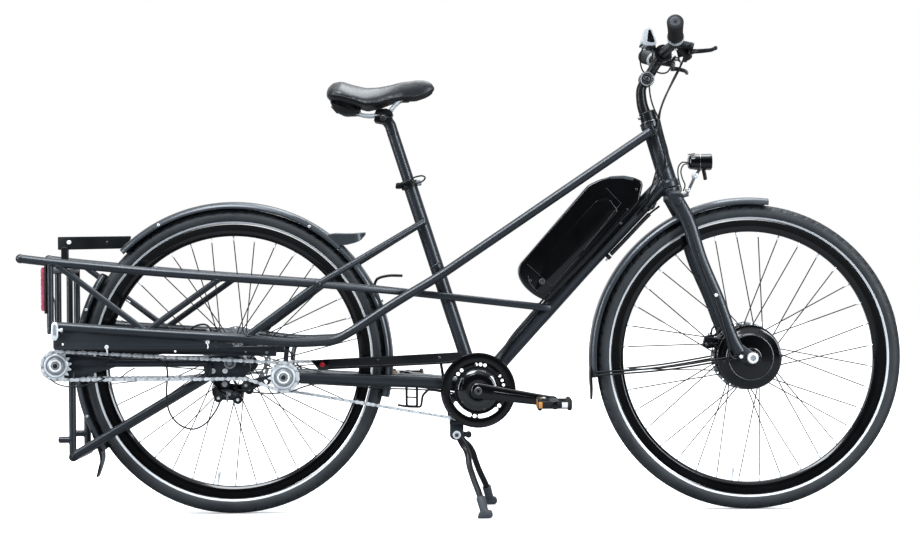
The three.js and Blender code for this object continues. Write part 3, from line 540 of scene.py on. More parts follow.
PAINT = finish("graphite_paint", (0.0132, 0.0175, 0.0235), 0.40, metal=0.35, vary=0.14, patch=5, grain=900, bump=0.004, depth=0.00004, coat=0.40, coat_rough=0.26, specular=0.55)
GUARD = finish("mudguard_graphite", (0.040, 0.047, 0.055), 0.34, metal=0.40, vary=0.12, patch=7, grain=900, bump=0.004, depth=0.00004, coat=0.45, coat_rough=0.20, specular=0.5)
PIANO = finish("polished_black", (0.0022, 0.0022, 0.0026), 0.09, metal=0.0, vary=0.2, patch=12, grain=700, bump=0.006, depth=0.00005, coat=0.8, coat_rough=0.03, specular=0.6)
GLOSS = finish("gloss_black", (0.0022, 0.0022, 0.0026), 0.17, metal=0.0, vary=0.3, patch=12, grain=700, bump=0.012, depth=0.0001, coat=0.6, coat_rough=0.06, specular=0.24)
SATIN = finish("satin_black", (0.0060, 0.0066, 0.0078), 0.34, metal=0.2, vary=0.25, patch=18, grain=1600, bump=0.05, depth=0.0001, scuff=0.15)
MATTE = finish("moulded_black", (0.0060, 0.0061, 0.0068), 0.55, vary=0.22, patch=22, grain=1500, bump=0.35, depth=0.00018, scuff=0.12)
RUBBER = finish("grip_rubber", (0.0085, 0.0088, 0.0095), 0.62, vary=0.25, patch=35, grain=900, bump=0.4, depth=0.0002)
SILVER = finish("silver", (0.86, 0.89, 0.92), 0.34, metal=0.45, vary=0.10, patch=30, grain=1800, bump=0.12, depth=0.00006)
STEEL = finish("ground_steel", (0.44, 0.46, 0.48), 0.34, metal=0.7, vary=0.18, patch=28, grain=1200, bump=0.2, depth=0.00008)
DARKSTEEL = finish("dark_steel", (0.16, 0.16, 0.17), 0.36, metal=1.0, vary=0.25, patch=40, grain=1400, bump=0.2, depth=0.00008, scuff=0.3, scuff_color=(0.5, 0.5, 0.5))
INNER = finish("inner_links", (0.46, 0.48, 0.50), 0.40, metal=0.6, vary=0.25, patch=60, grain=1400, bump=0.1, depth=0.00006)
CHAIN = finish("plated_chain", (0.78, 0.80, 0.82), 0.34, metal=0.5, vary=0.22, patch=120, grain=1600, bump=0.2, depth=0.00006, scuff=0.35, scuff_color=(0.25, 0.23, 0.2))
SPOKE = finish("spoke_steel", (0.016, 0.016, 0.018), 0.4, metal=0.4, vary=0.15, patch=20, grain=2400, bump=0.08, depth=0.00004)
CABLE = finish("cable_housing", (0.0045, 0.0045, 0.0048), 0.42, vary=0.3, patch=30, grain=1200, bump=0.15, depth=0.0001)
REFLECT = finish("reflective_band", (0.72, 0.74, 0.76), 0.42, vary=0.06, patch=60, grain=2600, bump=0.25, depth=0.00006)
WHITE = finish("white_cap", (0.80, 0.80, 0.79), 0.35, vary=0.06, patch=40, grain=900, bump=0.1, depth=0.0001)
AMBER = finish("amber_reflector", (0.62, 0.27, 0.07), 0.18, vary=0.2, patch=200, grain=700, bump=0.5, depth=0.0003, coat=0.8, coat_rough=0.05)
CLEARW = finish("clear_reflector", (0.78, 0.80, 0.82), 0.15, vary=0.15, patch=200, grain=700, bump=0.5, depth=0.0003, coat=0.8, coat_rough=0.05)
RED = finish("red_lens", (0.36, 0.055, 0.095), 0.18, vary=0.3, patch=120, grain=600, bump=0.4, depth=0.0003, coat=0.9, coat_rough=0.04)
REDDOT = finish("red_cap", (0.45, 0.01, 0.02), 0.3, vary=0.15, patch=90, grain=900, bump=0.1, depth=0.0001)
FOOT = finish("foot_plastic", (0.050, 0.056, 0.064), 0.5, vary=0.15, patch=40, grain=1200, bump=0.3, depth=0.00015)
SCREEN = finish("display_screen", (0.42, 0.45, 0.47), 0.12, vary=0.12, patch=40, grain=500, bump=0.0, coat=0.8, coat_rough=0.04)
GREY = finish("grey_plastic", (0.38, 0.40, 0.42), 0.38, vary=0.1, patch=30, grain=1300, bump=0.3, depth=0.00015)
GLASS = finish("lamp_glass", (0.75, 0.77, 0.80), 0.08, vary=0.08, patch=90, grain=300, bump=0.3, depth=0.0004, coat=1.0, coat_rough=0.03, metal=0.6)
CHROME = finish("chrome", (0.88, 0.88, 0.89), 0.09, metal=1.0, vary=0.05, patch=50, grain=900, bump=0.03, depth=0.00005)


def tyre_material():
    m, nt, b, tc = nodes_of("tyre_rubber")
    big = noise_node(nt, tc, 14, 6)
    fine = noise_node(nt, tc, 700, 4)
    col = ramp(nt, big.outputs[0], [(0.3, (0.0105, 0.0125, 0.0150)), (0.7, (0.025, 0.0290, 0.0335))])
    dust = noise_node(nt, tc, 60, 8, 0.65)
    mask = ramp(nt, dust.outputs[0], [(0.55, (0, 0, 0)), (0.8, (0.10, 0.10, 0.10))])
    mix = nt.nodes.new("ShaderNodeMix")
    mix.data_type = "RGBA"
    mix.inputs[7].default_value = (0.075, 0.073, 0.070, 1)
    nt.links.new(mask.outputs[0], mix.inputs[0])
    nt.links.new(col.outputs[0], mix.inputs[6])
    nt.links.new(mix.outputs[2], b.inputs["Base Color"])
    rg = spread(nt, dust.outputs[0], 0.48, 0.72)
    nt.links.new(rg.outputs[0], b.inputs["Roughness"])
    bp = nt.nodes.new("ShaderNodeBump")
    bp.inputs["Strength"].default_value = 0.35
    bp.inputs["Distance"].default_value = 0.00025
    nt.links.new(fine.outputs[0], bp.inputs["Height"])
    nt.links.new(bp.outputs[0], b.inputs["Normal"])
    return m


TYRE = tyre_material()


def saddle_material():
    m, nt, b, tc = nodes_of("saddle_cover")
    vor = nt.nodes.new("ShaderNodeTexVoronoi")
    vor.feature = "DISTANCE_TO_EDGE"
    vor.inputs["Scale"].default_value = 520
    nt.links.new(tc.outputs["Object"], vor.inputs["Vector"])
    big = noise_node(nt, tc, 9, 5)
    col = ramp(nt, big.outputs[0], [(0.3, (0.0046, 0.0056, 0.0072)), (0.7, (0.0080, 0.0096, 0.0122))])
    nt.links.new(col.outputs[0], b.inputs["Base Color"])
    rg = spread(nt, big.outputs[0], 0.36, 0.46)
    nt.links.new(rg.outputs[0], b.inputs["Roughness"])
    edge = ramp(nt, vor.outputs[0], [(0.0, (0, 0, 0)), (0.12, (1, 1, 1))])
    fine = noise_node(nt, tc, 1500, 3)
    add = nt.nodes.new("ShaderNodeMath")
    add.operation = "MULTIPLY_ADD"
    add.inputs[1].default_value = 0.4
    nt.links.new(fine.outputs[0], add.inputs[0])
    nt.links.new(edge.outputs[0], add.inputs[2])
    bp = nt.nodes.new("ShaderNodeBump")
    bp.inputs["Strength"].default_value = 0.10
    bp.inputs["Distance"].default_value = 0.00012
    nt.links.new(add.outputs[0], bp.inputs["Height"])
    nt.links.new(bp.outputs[0], b.inputs["Normal"])
    b.inputs["Sheen Weight"].default_value = 0.03
    b.inputs["Coat Weight"].default_value = 0.16
    b.inputs["Coat Roughness"].default_value = 0.22
    b.inputs["Sheen Roughness"].default_value = 0.35
    b.inputs["Specular IOR Level"].default_value = 0.42
    return m


SADDLE = saddle_material()

BODY_OF = {n: b for b, ns in frame["record"]["behaviour"]["bodies"].items() for n in ns}


def make(name, parts, material, body, replaces=(), angle=38, subsurf=0):
    """One piece from parts: a list of (verts, faces), or of ((verts, faces), material)."""
    mats, verts, faces, index = [], [], [], []
    n = 0
    for part in parts:
        mt = material
        if isinstance(part[1], bpy.types.Material):
            part, mt = part
        if mt not in mats:
            mats.append(mt)
        v, f = part
        verts.append(A(v) * MM)
        faces.extend([tuple(int(i) + n for i in q) for q in f])
        index.extend([mats.index(mt)] * len(f))
        n += len(v)
    me = bpy.data.meshes.new(name)
    me.from_pydata(np.concatenate(verts).tolist(), [], faces)
    for mt in mats:
        me.materials.append(mt)
    me.polygons.foreach_set("material_index", np.array(index, np.int32))
    bm = bmesh.new()
    bm.from_mesh(me)
    bmesh.ops.recalc_face_normals(bm, faces=bm.faces[:])
    bm.to_mesh(me)
    bm.free()
    me.polygons.foreach_set("use_smooth", np.ones(len(me.polygons), bool))
    me.set_sharp_from_angle(angle=math.radians(angle))
    o = bpy.data.objects.new(name, me)
    bpy.context.scene.collection.objects.link(o)
    if subsurf:
        md = o.modifiers.new("subdivision", "SUBSURF")
        md.levels = md.render_levels = subsurf
    if body:
        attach(o, body)
    if replaces:
        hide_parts(*([replaces] if isinstance(replaces, str) else replaces))
    return o


# ---------------------------------------------------------------- wheels
def tyre(name, c, body):
    blocks, seg = 84, 1008
    prof, tread = [], []
    for i in range(0, 49):
        f = math.radians(-50 + 280 * i / 48)
        prof.append((334 + 19 * math.sin(f), 21 * math.cos(f)))
    # the mouth that sits in the rim closes the section
    def wave(a, r, y):
        k = abs(y)
        if r < 342.5 or k > 18.6:
            # the side wall is left smooth
            return r
        u = a * blocks / (2 * math.pi)
        lean = 0.55 if y > 0 else -0.55
        if k < 2.6:
            g = 0.35 if (2 * u) % 1 < 0.12 else 0
        elif k < 3.9:
            g = 1.5
        elif k < 9.2:
            g = 2.0 if (u + lean * 0 + k * 0.055) % 1 < 0.26 else 0
        elif k < 10.4:
            g = 1.3
        else:
            g = 2.0 if (u + 0.5 + k * 0.03) % 1 < 0.34 else 0
        return r - g
    v, f = about(c, prof, seg, True, wave)
    rows = len(prof)
    parts = [(v, f)]
    me = make(name, parts, TYRE, body, [name.replace("_casing", "")], angle=32)
    me.data.materials.append(REFLECT)
    # the pale reflective line, one row of faces on either side next to the rim
    idx = np.zeros(len(me.data.polygons), np.int32)
    cen = np.array([p.center[:] for p in me.data.polygons]) / MM
    rr = np.hypot(cen[:, 0] - c[0], cen[:, 2] - c[1])
    idx[(rr > 320.1) & (rr < 324.1) & (abs(cen[:, 1]) > 12)] = 1
    me.data.polygons.foreach_set("material_index", idx)
    return me


def rim(name, c, body):
    prof = [(RIM_IN, -4.4), (291, -6.4), (296.5, -10.0), (303, -11.3), (316.2, -11.9), (317.5, -12.4), (317.5, -10.4), (313.5, -10.0), (309, -8.8), (306, -4), (306, 4),
            (309, 8.8), (313.5, 10.0), (317.5, 10.4), (317.5, 12.4), (316.2, 11.9), (303, 11.3), (296.5, 10.0), (291, 6.4), (RIM_IN, 4.4)]
    parts = [about(c, soft(prof, 0.8, 2, True), 288, True)]
    # valve with its cap
    p0, p1 = polar(c, 289, 262), polar(c, 258, 262)
    d = unit((p1[0] - p0[0], 0, p1[1] - p0[1]))
    parts.append((turn(soft([(0, 0), (3.4, 0), (3.4, 3), (2.7, 3.2), (2.7, 18), (3.5, 18.5), (3.5, 29), (2.4, 31), (0, 31)], 0.5, 2), (p0[0], 0, p0[1]), d, 20), SILVER))
    return make(name, parts, GLOSS, body, [name.replace("_hoop", "")], angle=30)


def spoke_set(name, c, flange, ys, cross, phase, body):
    parts = []
    for i in range(36):
        left, lead = i % 2, 1 if (i // 2) % 2 else -1
        d = phase + i * 10
        a, b = polar(c, flange, d + lead * cross * 20), polar(c, 291, d)
        y = ys[1] if left else ys[0]
        p, q = A((a[0], y + lead * 2.4, a[1])), A((b[0], (2.3 if left else -2.3) + lead * 0.6, b[1]))
        u = unit(q - p)
        parts.append(tube([p + u * 1.5, p + u * 14, p + u * 20, q - u * 20, q - u * 4], [1.5, 1.45, 1.35, 1.35, 1.35], 8))
        # elbow through the flange, with its head
        parts.append(tube([p - (0, lead * 4.2, 0), p - (0, lead * 1.2, 0), p + u * 1.2, p + u * 4], 1.25, 8, ref=None, cap=0.8))
        parts.append((turn([(0, -0.5), (1.3, -0.5), (2.0, 0.6), (2.0, 9), (1.7, 12), (1.2, 12.8), (0, 12.8)], q, -u, 12), SILVER))
    return make(name, parts, SPOKE, body, angle=50)


def brake_disc(name, c, y0, y1, inner, body, node):
    """A wavy rotor with rows of holes and swept arms."""
    n = 60
    holes = []
    for i in range(24):
        holes.append(circle(polar(c, 75.2, i * 15 + 2), 2.1, 10))
        if i % 2 == 0:
            h = [polar(c, 69.8, i * 15 + 8 + k) for k in (-3.2, 0, 3.2)]
            holes.append([*[polar(c, 71.2, i * 15 + 8 + k) for k in (-3.0, 0, 3.0)], *[polar(c, 67.6, i * 15 + 8 + k) for k in (3.0, 0, -3.0)]])
    outline = [polar(c, 79.4 + 0.55 * math.cos(math.radians(i * 12 * 1.0 * 2)), i * 2) for i in range(180)]
    holes.append([polar(c, 64.5 + 0.8 * math.cos(math.radians(k * 6 * 6)), k * 6) for k in range(60)])
    parts = [plate(outline, y0, y1, holes, 0.2)]
    for i in range(6):
        d = i * 60
        pts = smooth([(*polar(c, inner - 1, d), 0), (*polar(c, 40, d + 14), 0), (*polar(c, 54, d + 26), 0), (*polar(c, 66, d + 34), 0)], 12)
        pts = [(q[0], (y0 + y1) / 2, q[1]) for q in pts]
        parts.append(tube(pts, [(0.85, 4.6 - 1.6 * math.sin(math.pi * k / 12)) for k in range(13)], 12, power=4))
    parts.append(plate(circle(c, inner + 6, 48), y0, y1, [circle(c, inner - 9, 32)], 0.2))
    for i in range(6):
        p = polar(c, inner - 1.5, i * 60 + 30)
        parts.append((bolt((p[0], y1, p[1]), (0, 1, 0), 3.6, 1.8), DARKSTEEL))
    return make(name, parts, STEEL, body, node, angle=30)


tyre("front_tyre_casing", FRONT, "front_wheel")
tyre("rear_tyre_casing", REAR, "rear_wheel")
rim("front_rim_hoop", FRONT, "front_wheel")
rim("rear_rim_hoop", REAR, "rear_wheel")
spoke_set("front_spokes", FRONT, 71, (-24, 24), 1, 5, "front_wheel")
spoke_set("rear_spokes", REAR, 26.5, (-20, 31), 3, 0, "rear_wheel")
brake_disc("front_brake_disc", FRONT, 46.6, 48.4, 26, "front_wheel", "front_rotor")
brake_disc("rear_brake_disc", REAR, 45.8, 47.6, 28, "rear_wheel", "rear_rotor")


def hub_motor():
    c = FRONT
    shell = soft([(6.8, -49), (19, -49), (20.5, -45), (24, -43.6), (50.5, -42.4), (53, -41.2), (54.2, -37), (57, -35), (64, -31), (66, -29.6), (70, -27.8), (74, -27.4), (74.6, -25), (74, -22.4), (70.4, -22), (70.4, 22), (74, 22.4),
                  (74.6, 25), (74, 27.4), (70, 27.8), (66, 30), (57, 36), (52, 42), (24, 44), (20, 45.4), (6.8, 45.4)], 0.9, 2, True)
    parts = [about(c, shell, 144, True)]
    # raised ring round the cover and its screws
    parts.append((ring(c, 50.6, 52.4, -43.2, -41.4, 128, 0.5), DARKSTEEL))
    for i in range(6):
        p = polar(c, 60.5, i * 60 + 12)
        parts.append(bolt((p[0], -32.6, p[1]), unit((math.cos(math.radians(i * 60 + 12)) * 0.5, -1, math.sin(math.radians(i * 60 + 12)) * 0.5)), 3.0, 1.6))
    for i in range(40):  # cooling ribs between the flanges
        d = i * 9
        parts.append(plate([polar(c, 69.5, d - 1.2), polar(c, 72.2, d - 0.9), polar(c, 72.2, d + 0.9), polar(c, 69.5, d + 1.2)], -21.8, 21.8, (), 0.3))
    return make("front_hub_motor_shell", parts, GLOSS, "front_wheel", "front_hub_motor", angle=28)


def rear_hub():
    c = REAR
    prof = soft([(6.6, -62), (15, -62), (17, -60), (17, -24), (29.5, -21.6), (29.5, -18.6), (21, -14), (16.5, -6), (16.5, 8), (19, 22), (30, 29), (30, 32.5), (19, 36), (18, 44.6), (13, 52), (12, 60), (6.6, 60)], 0.8, 2, True)
    return make("rear_hub_shell", [about(c, prof, 96, True)], GLOSS, "rear_wheel", "rear_hub", angle=30)


hub_motor()
rear_hub()


# ---------------------------------------------------------------- sprockets and chains
def teeth(c, n, pitch_r, y, thick=1.9, phase=0.0, holes=(), bevel=0.35, depth=3.7, height=3.3):
    out = []
    for i in range(n):
        for u, r in ((0, -depth), (0.13, -depth * 0.9), (0.25, -depth * 0.25), (0.34, height * 0.45), (0.42, height * 0.95), (0.5, height), (0.58, height * 0.95), (0.66, height * 0.45), (0.75, -depth * 0.25), (0.87, -depth * 0.9)):
            out.append(polar(c, pitch_r + r, phase + 360 * (i + u) / n))
    return plate(out, y - thick / 2, y + thick / 2, holes, bevel)


def belt(c1, r1, c2, r2, n=48):
    dx, dz = c2[0] - c1[0], c2[1] - c1[1]
    base = math.degrees(math.atan2(dz, dx))
    k = math.degrees(math.acos((r1 - r2) / math.hypot(dx, dz)))
    arc = lambda c, r, a, b: [polar(c, r, a + (b - a) * i / n) for i in range(n + 1)]
    return arc(c1, r1, base + k, base + 360 - k) + arc(c2, r2, base - k, base + k)


def resample(path, step):
    p = A(path + [path[0]])
    s = np.concatenate([[0], np.cumsum(np.linalg.norm(np.diff(p, axis=0), axis=1))])
    n = int(round(s[-1] / step))
    n += n % 2
    at = np.linspace(0, s[-1], n + 1)[:-1]
    return np.stack([np.interp(at, s, p[:, 0]), np.interp(at, s, p[:, 1])], 1)


def link_plate(p, q, y0, y1, r=4.1, waist=2.9):
    d = q - p
    length = np.linalg.norm(d)
    u = d / length
    w = A((-u[1], u[0]))
    out = []
    for a in range(-110, 111, 22):
        f = math.radians(a)
        out.append(q + r * (u * math.cos(f) + w * math.sin(f)))
    out.append((p + q) / 2 + w * waist)
    for a in range(70, 291, 22):
        f = math.radians(a)
        out.append(p + r * (u * math.cos(f) + w * math.sin(f)))
    out.append((p + q) / 2 - w * waist)
    return plate(out, y0, y1, (), 0.2)


def chain(name, path, yc, body, node, wide=1.0, material=None):
    pts = resample(path, 12.7)
    n = len(pts)
    parts = []
    for i in range(n):
        p, q = pts[i], pts[(i + 1) % n]
        if i % 2:
            ys = ((2.75 * wide, 3.6 * wide),)
        else:
            ys = ((1.85 * wide, 2.65 * wide),)
        for a, b in ys:
            for lo, hi in ((yc + a, yc + b), (yc - b, yc - a)):
                parts.append(link_plate(p, q, lo, hi) if i % 2 else (link_plate(p, q, lo, hi, 3.9, 2.4), INNER))
        parts.append(about(p, [(0, yc - 3.72 * wide), (1.5, yc - 3.72 * wide), (1.75, yc - 3.5 * wide), (1.75, yc + 3.5 * wide), (1.5, yc + 3.72 * wide), (0, yc + 3.72 * wide)], 10))
        parts.append((about(p, [(1.9, yc - 1.7 * wide), (3.8, yc - 1.7 * wide), (3.85, yc), (3.8, yc + 1.7 * wide), (1.9, yc + 1.7 * wide)], 14, True), DARKSTEEL))
    return make(name, parts, material or CHAIN, body, node, angle=35), pts


def seat_phase(pts, c, n, r):
    """Turns a sprocket so that its tooth gaps sit under the chain's rollers."""
    best = None
    for p in pts:
        d = np.linalg.norm(p - A(c))
        if abs(d - r) < 0.6:
            a = math.degrees(math.atan2(p[1] - c[1], p[0] - c[0]))
            best = a if best is None else best
            ref = a
    near = [math.degrees(math.atan2(p[1] - c[1], p[0] - c[0])) for p in pts if abs(np.linalg.norm(p - A(c)) - r) < 0.8]
    step = 360 / n
    z = np.mean([np.exp(2j * math.pi * a / step) for a in near])
    return float(np.angle(z)) * step / (2 * math.pi)


SPR, CHR = 32.5, 73
_, front_pts = chain("front_chain", belt(JACK, SPR, BB, CHR), -50.25, "frame", "chain_front")
top = math.degrees(math.atan2(JACK[1] - PIVOT[1], JACK[0] - PIVOT[0])) + 90
arc = lambda c, r, a, b, n: [polar(c, r, a + (b - a) * i / n) for i in range(n + 1)]
mid_path = [*arc(PIVOT, SPR, top, 269, 40), (-700, 317.6), *arc((-498.5, 302.5), 15.2, 91, 72, 8), *arc(JACK, SPR, 252, 360 + top, 40)]
_, mid_pts = chain("middle_chain", mid_path, -100.25, "frame", "chain_mid")
_, rear_pts = chain("rear_chain", belt(PIVOT, SPR, REAR, SPR), -47.75, "swing", "chain_rear", 0.85)


def shaft(name, c, node, inner_y, body, outer_pts, inner_pts, inner_end):
    yo = -100.25
    parts = [
        (teeth(c, 16, SPR, yo, 2.2, seat_phase(outer_pts, c, 16, SPR)), SILVER),
        (teeth(c, 16, SPR, inner_y, 2.0, seat_phase(inner_pts, c, 16, SPR)), DARKSTEEL),
        # shaft body between the sprockets
        (about(c, soft([(0, inner_end), (9, inner_end), (11, inner_y + 1), (12.5, inner_y - 3), (8.5, inner_y - 5), (8.5, -95.6), (14, -98), (0, -98)], 0.6, 2), 48), STEEL),
        (about(c, soft([(10.0, -106.6), (14.2, -106.6), (14.2, -108.4), (10.0, -108.4)], 0.5, 2, True), 64, True), WHITE),
        (about(c, soft([(0, -107.0), (5.6, -107.0), (5.6, -110.0), (0, -110.0)], 0.5, 2), 32), MATTE),
        (about(c, soft([(22.4, -103.0), (26.0, -103.0), (26.0, -104.9), (22.4, -104.9)], 0.4, 2, True), 80, True), SILVER),
        # stepped outer cap: rings, groove and a centre screw
        (about(c, soft([(0, -99), (26.5, -99), (27.2, -101.6), (27.2, -103.0), (25.4, -104.0), (21.6, -104.0), (20.9, -102.7), (18.6, -102.7), (17.9, -104.4), (17.2, -106.4), (14.6, -107.1), (10.9, -107.1), (10.2, -105.2), (7.6, -105.2), (7.2, -107.8), (6.4, -109.2), (4.6, -109.4), (4.2, -107.2), (0, -107.2)], 0.35, 2), 96), STEEL),
    ]
    return make(name, parts, SILVER, body, node, angle=32)


shaft("jackshaft_with_sprockets", JACK, "jackshaft_sprocket", -50.25, "jackshaft", mid_pts, front_pts, -44.6)
shaft("pivot_shaft_with_sprockets", PIVOT, "pivot_sprocket", -47.75, "pivot_shaft", mid_pts, rear_pts, -43.8)


def cassette():
    c = REAR
    parts = [(teeth(c, 16, SPR, -47.75, 2.0, seat_phase(rear_pts, c, 16, SPR)), STEEL)]
    for i, (n, y) in enumerate(((11, -57.5), (13, -54.3), (15, -51.2))):
        parts.append((teeth(c, n, n * 1.9, y, 1.7, 5 * i, depth=3, height=2.4), DARKSTEEL))
    for i, (n, y) in enumerate(((17, -43.6), (19, -40.2), (20, -36.8), (21, -33.4), (21.5, -30))):
        parts.append((teeth(c, int(n), 33 + 2.1 * i, y, 1.7, 7 * i, depth=3, height=2.6), DARKSTEEL if i % 2 else STEEL))
    parts.append((about(c, soft([(17.6, -60), (21, -60), (22, -58.5), (22, -30), (27, -28), (27, -25.8), (17.6, -25.8)], 0.4, 2, True), 64, True), DARKSTEEL))
    return make("cassette_cluster", parts, STEEL, "cassette", "cassette", angle=32)


cassette()


# ---------------------------------------------------------------- main frame
head_dir = unit((HEAD_BOT[0] - HEAD_TOP[0], 0, HEAD_BOT[1] - HEAD_TOP[1]))
HEAD_LEN = math.hypot(HEAD_BOT[0] - HEAD_TOP[0], HEAD_BOT[1] - HEAD_TOP[1])
on_head = lambda t: A((HEAD_TOP[0], 0, HEAD_TOP[1])) + head_dir * t
seat_dir = unit((0.3037, 0, -0.9528))
on_seat = lambda t: A((SEAT_TOP[0], 0, SEAT_TOP[1])) + seat_dir * t
DOWN = [(28, 0, 284), (82, 0, 348), (281.5, 0, 567), (470, 0, 764)]


def rail_pt(x, z):
    y = 32.7 if x > -58 else RAIL_Y if x < -505 else 32.7 + ((-58 - x) * (RAIL_Y - 32.7)) / 447
    return (x, -y, z)


MAIN = [(431, -32.7, 875.5), (-58, -32.7, 546.7), rail_pt(-161, 487), rail_pt(-262, 421), rail_pt(-300, 401), rail_pt(-397, 397.5), rail_pt(-505, 411.5), rail_pt(-715, 425.5), (-922.5, -RAIL_Y, 441.5)]
TOPRAIL = [(-994, -RAIL_Y, 593.4), (-932, -RAIL_Y, 585.4), (-707, -RAIL_Y, 562), (-505, -RAIL_Y, 545.3), (-333, -110, 531.4)]


def bore(c, r, y0, y1):
    return about(c, [(r - 0.6, y0), (r, y0), (r, y1), (r - 0.6, y1)], 48, True)


make("head_tube_with_cups", [
    turn(soft([(14.6, -1), (21.5, -1), (23.3, 1), (23.5, 12), (22, 14.5), (20.9, 18), (20.8, 40), (20.8, HEAD_LEN - 40), (21.2, HEAD_LEN - 18), (23, HEAD_LEN - 15), (24.3, HEAD_LEN - 12), (24.4, HEAD_LEN - 1), (22, HEAD_LEN + 0.6), (14.6, HEAD_LEN + 0.6)], 1.6, 4, True), on_head(0), head_dir, 96, True),
    (turn(soft([(14.6, 0.2), (24, 0.2), (24, 3.4), (14.6, 3.4)], 0.8, 2, True), on_head(-1.4), head_dir, 72, True), GLOSS),
    weld(on_head(60), head_dir, 20.9, A((281.5, 0, 567)), unit((188.5, 0, 197)), 18.5, 2.2, 96),
    weld(on_head(60), head_dir, 20.9, A((-58, -32.7, 546.7)) + (0, 12.0, 0), unit((489, 0, 328.8)), (8, 10.5), 1.6),
    weld(on_head(60), head_dir, 20.9, A((-58, 32.7, 546.7)) - (0, 12.0, 0), unit((489, 0, 328.8)), (8, 10.5), 1.6),
], PAINT, "frame", "head_tube", angle=45)

down_pts = rounded(DOWN[:3] + [tuple(A(DOWN[3]) - unit((188.5, 0, 197)) * 10)], 30, 10)
make("down_tube_fine", [
    tube(down_pts, 18.5, 64),
    weld((28, -40, 284), (0, 1, 0), 22.3, (82, 0, 348), unit((28 - 82, 0, 284 - 348)), 18.4, 2.0, 96),
    # cable bosses and their screws
    *[bolt(A((185, -18.2, 461)) + (x, 0, z), (0, -1, 0), 2.6, 1.6) for x, z in ((0, 0), (45, 49))],
], PAINT, "frame", "down_tube", angle=45)

make("seat_tube_fine", [
    tube([on_seat(0.3), on_seat(3), on_seat(200), on_seat(480), on_seat(486)], 16.2, 56),
    (turn([(13.9, 0), (15.9, 0), (15.9, 0.6), (13.9, 0.6)], on_seat(-0.3), seat_dir, 56, True), DARKSTEEL),
    weld((28, -40, 284), (0, 1, 0), 22.3, on_seat(300), seat_dir, 16.1, 1.9, 90),
], PAINT, "frame", "seat_tube", angle=45)

bracket = [(-38, 214), (-6, 214), (-6, 176), (-14, 169), (-30, 169), (-38, 176)]
make("bottom_bracket_with_stand_mount", [
    about(BB, soft([(10.5, -36.5), (22.4, -36.5), (22.4, 36.5), (10.5, 36.5)], 1.0, 3, True), 96, True),
    (ring(BB, 11, 21.4, -39.8, -36.2, 64, 0.8), DARKSTEEL), (ring(BB, 11, 21.4, 36.2, 39.8, 64, 0.8), DARKSTEEL),
    plate(fillet([(-42, 214), (-4, 214), (-7, 221), (-22, 235.5), (-35, 254), (-29, 261.5), (14, 270), (8, 288), (-33, 272.5), (-44, 262), (-44, 238)], 3.5, 4), -16, 16, (), 1.4),
    rbox(-39, -5, -44.5, 44.5, 204.5, 214.5, 2.0),
    plate(fillet(bracket, 7, 5), 38, 44, (), 1.0), plate(fillet(bracket, 7, 5), -44, -38, (), 1.0),
    # the pivot bolt with its ring
    (place(turn(soft([(0, -1), (9.2, -1), (9.2, 1.4), (6.6, 1.8), (6.2, 0.8), (0, 0.8)], 0.3, 2), (0, 0, 0), (0, 1, 0), 48), (STAND[0], -44.2, STAND[1]), (0, -1, 0)), SILVER),
    (bolt((STAND[0], -44.6, STAND[1]), (0, -1, 0), 4.6, 3.0), DARKSTEEL),
    (bolt((STAND[0], 44.4, STAND[1]), (0, 1, 0), 6.4, 3.4), DARKSTEEL),
    (bolt((-22, 0, 204), (0, 0, -1), 6.0, 5), SILVER),
    rbox(-10, 0, -43, -36, 176, 188, 2),
    (turn(soft([(0, -12), (7.4, -12), (7.4, 8), (0, 8)], 1.6, 3), (5, -38, 181.5), (0, 1, 0), 36), MATTE),
], PAINT, "frame", "bottom_bracket_shell", angle=40)


def plug(at, axis, r):
    """A moulded end plug in a tube's mouth."""
    return place(turn([(0, -1), (r - 0.6, -1), (r - 0.2, 0), (r - 0.2, 1.2), (r - 1.2, 2.6), (r * 0.5, 3.4), (0, 3.6)], (0, 0, 0), (0, 1, 0), 40), at, axis)


main_pts = rounded([tuple(A(MAIN[0]) + (0, 10, 6.7))] + MAIN[1:], 46, 12)
main_pts[0] = A(MAIN[0])
rail = [
    tube(main_pts, 10.5, 40),
    (plug(MAIN[-1], A(MAIN[-1]) - A(MAIN[-2]), 10.5), MATTE),
    tube(smooth([on_seat(205) + A((9, -22.4, 9)), on_seat(205) + A((-2, -24.6, 0)), on_seat(205) + A((-14, -23.0, -8))], 8), 2.4, 8, ref=None, cap=1.5),
]
make("main_rail_right_fine", rail, PAINT, "frame", "main_rail_right", angle=45)
make("main_rail_left_fine", [((flip(p[0]), p[1]) if isinstance(p[1], bpy.types.Material) else flip(p)) for p in rail], PAINT, "frame", "main_rail_left", angle=45)

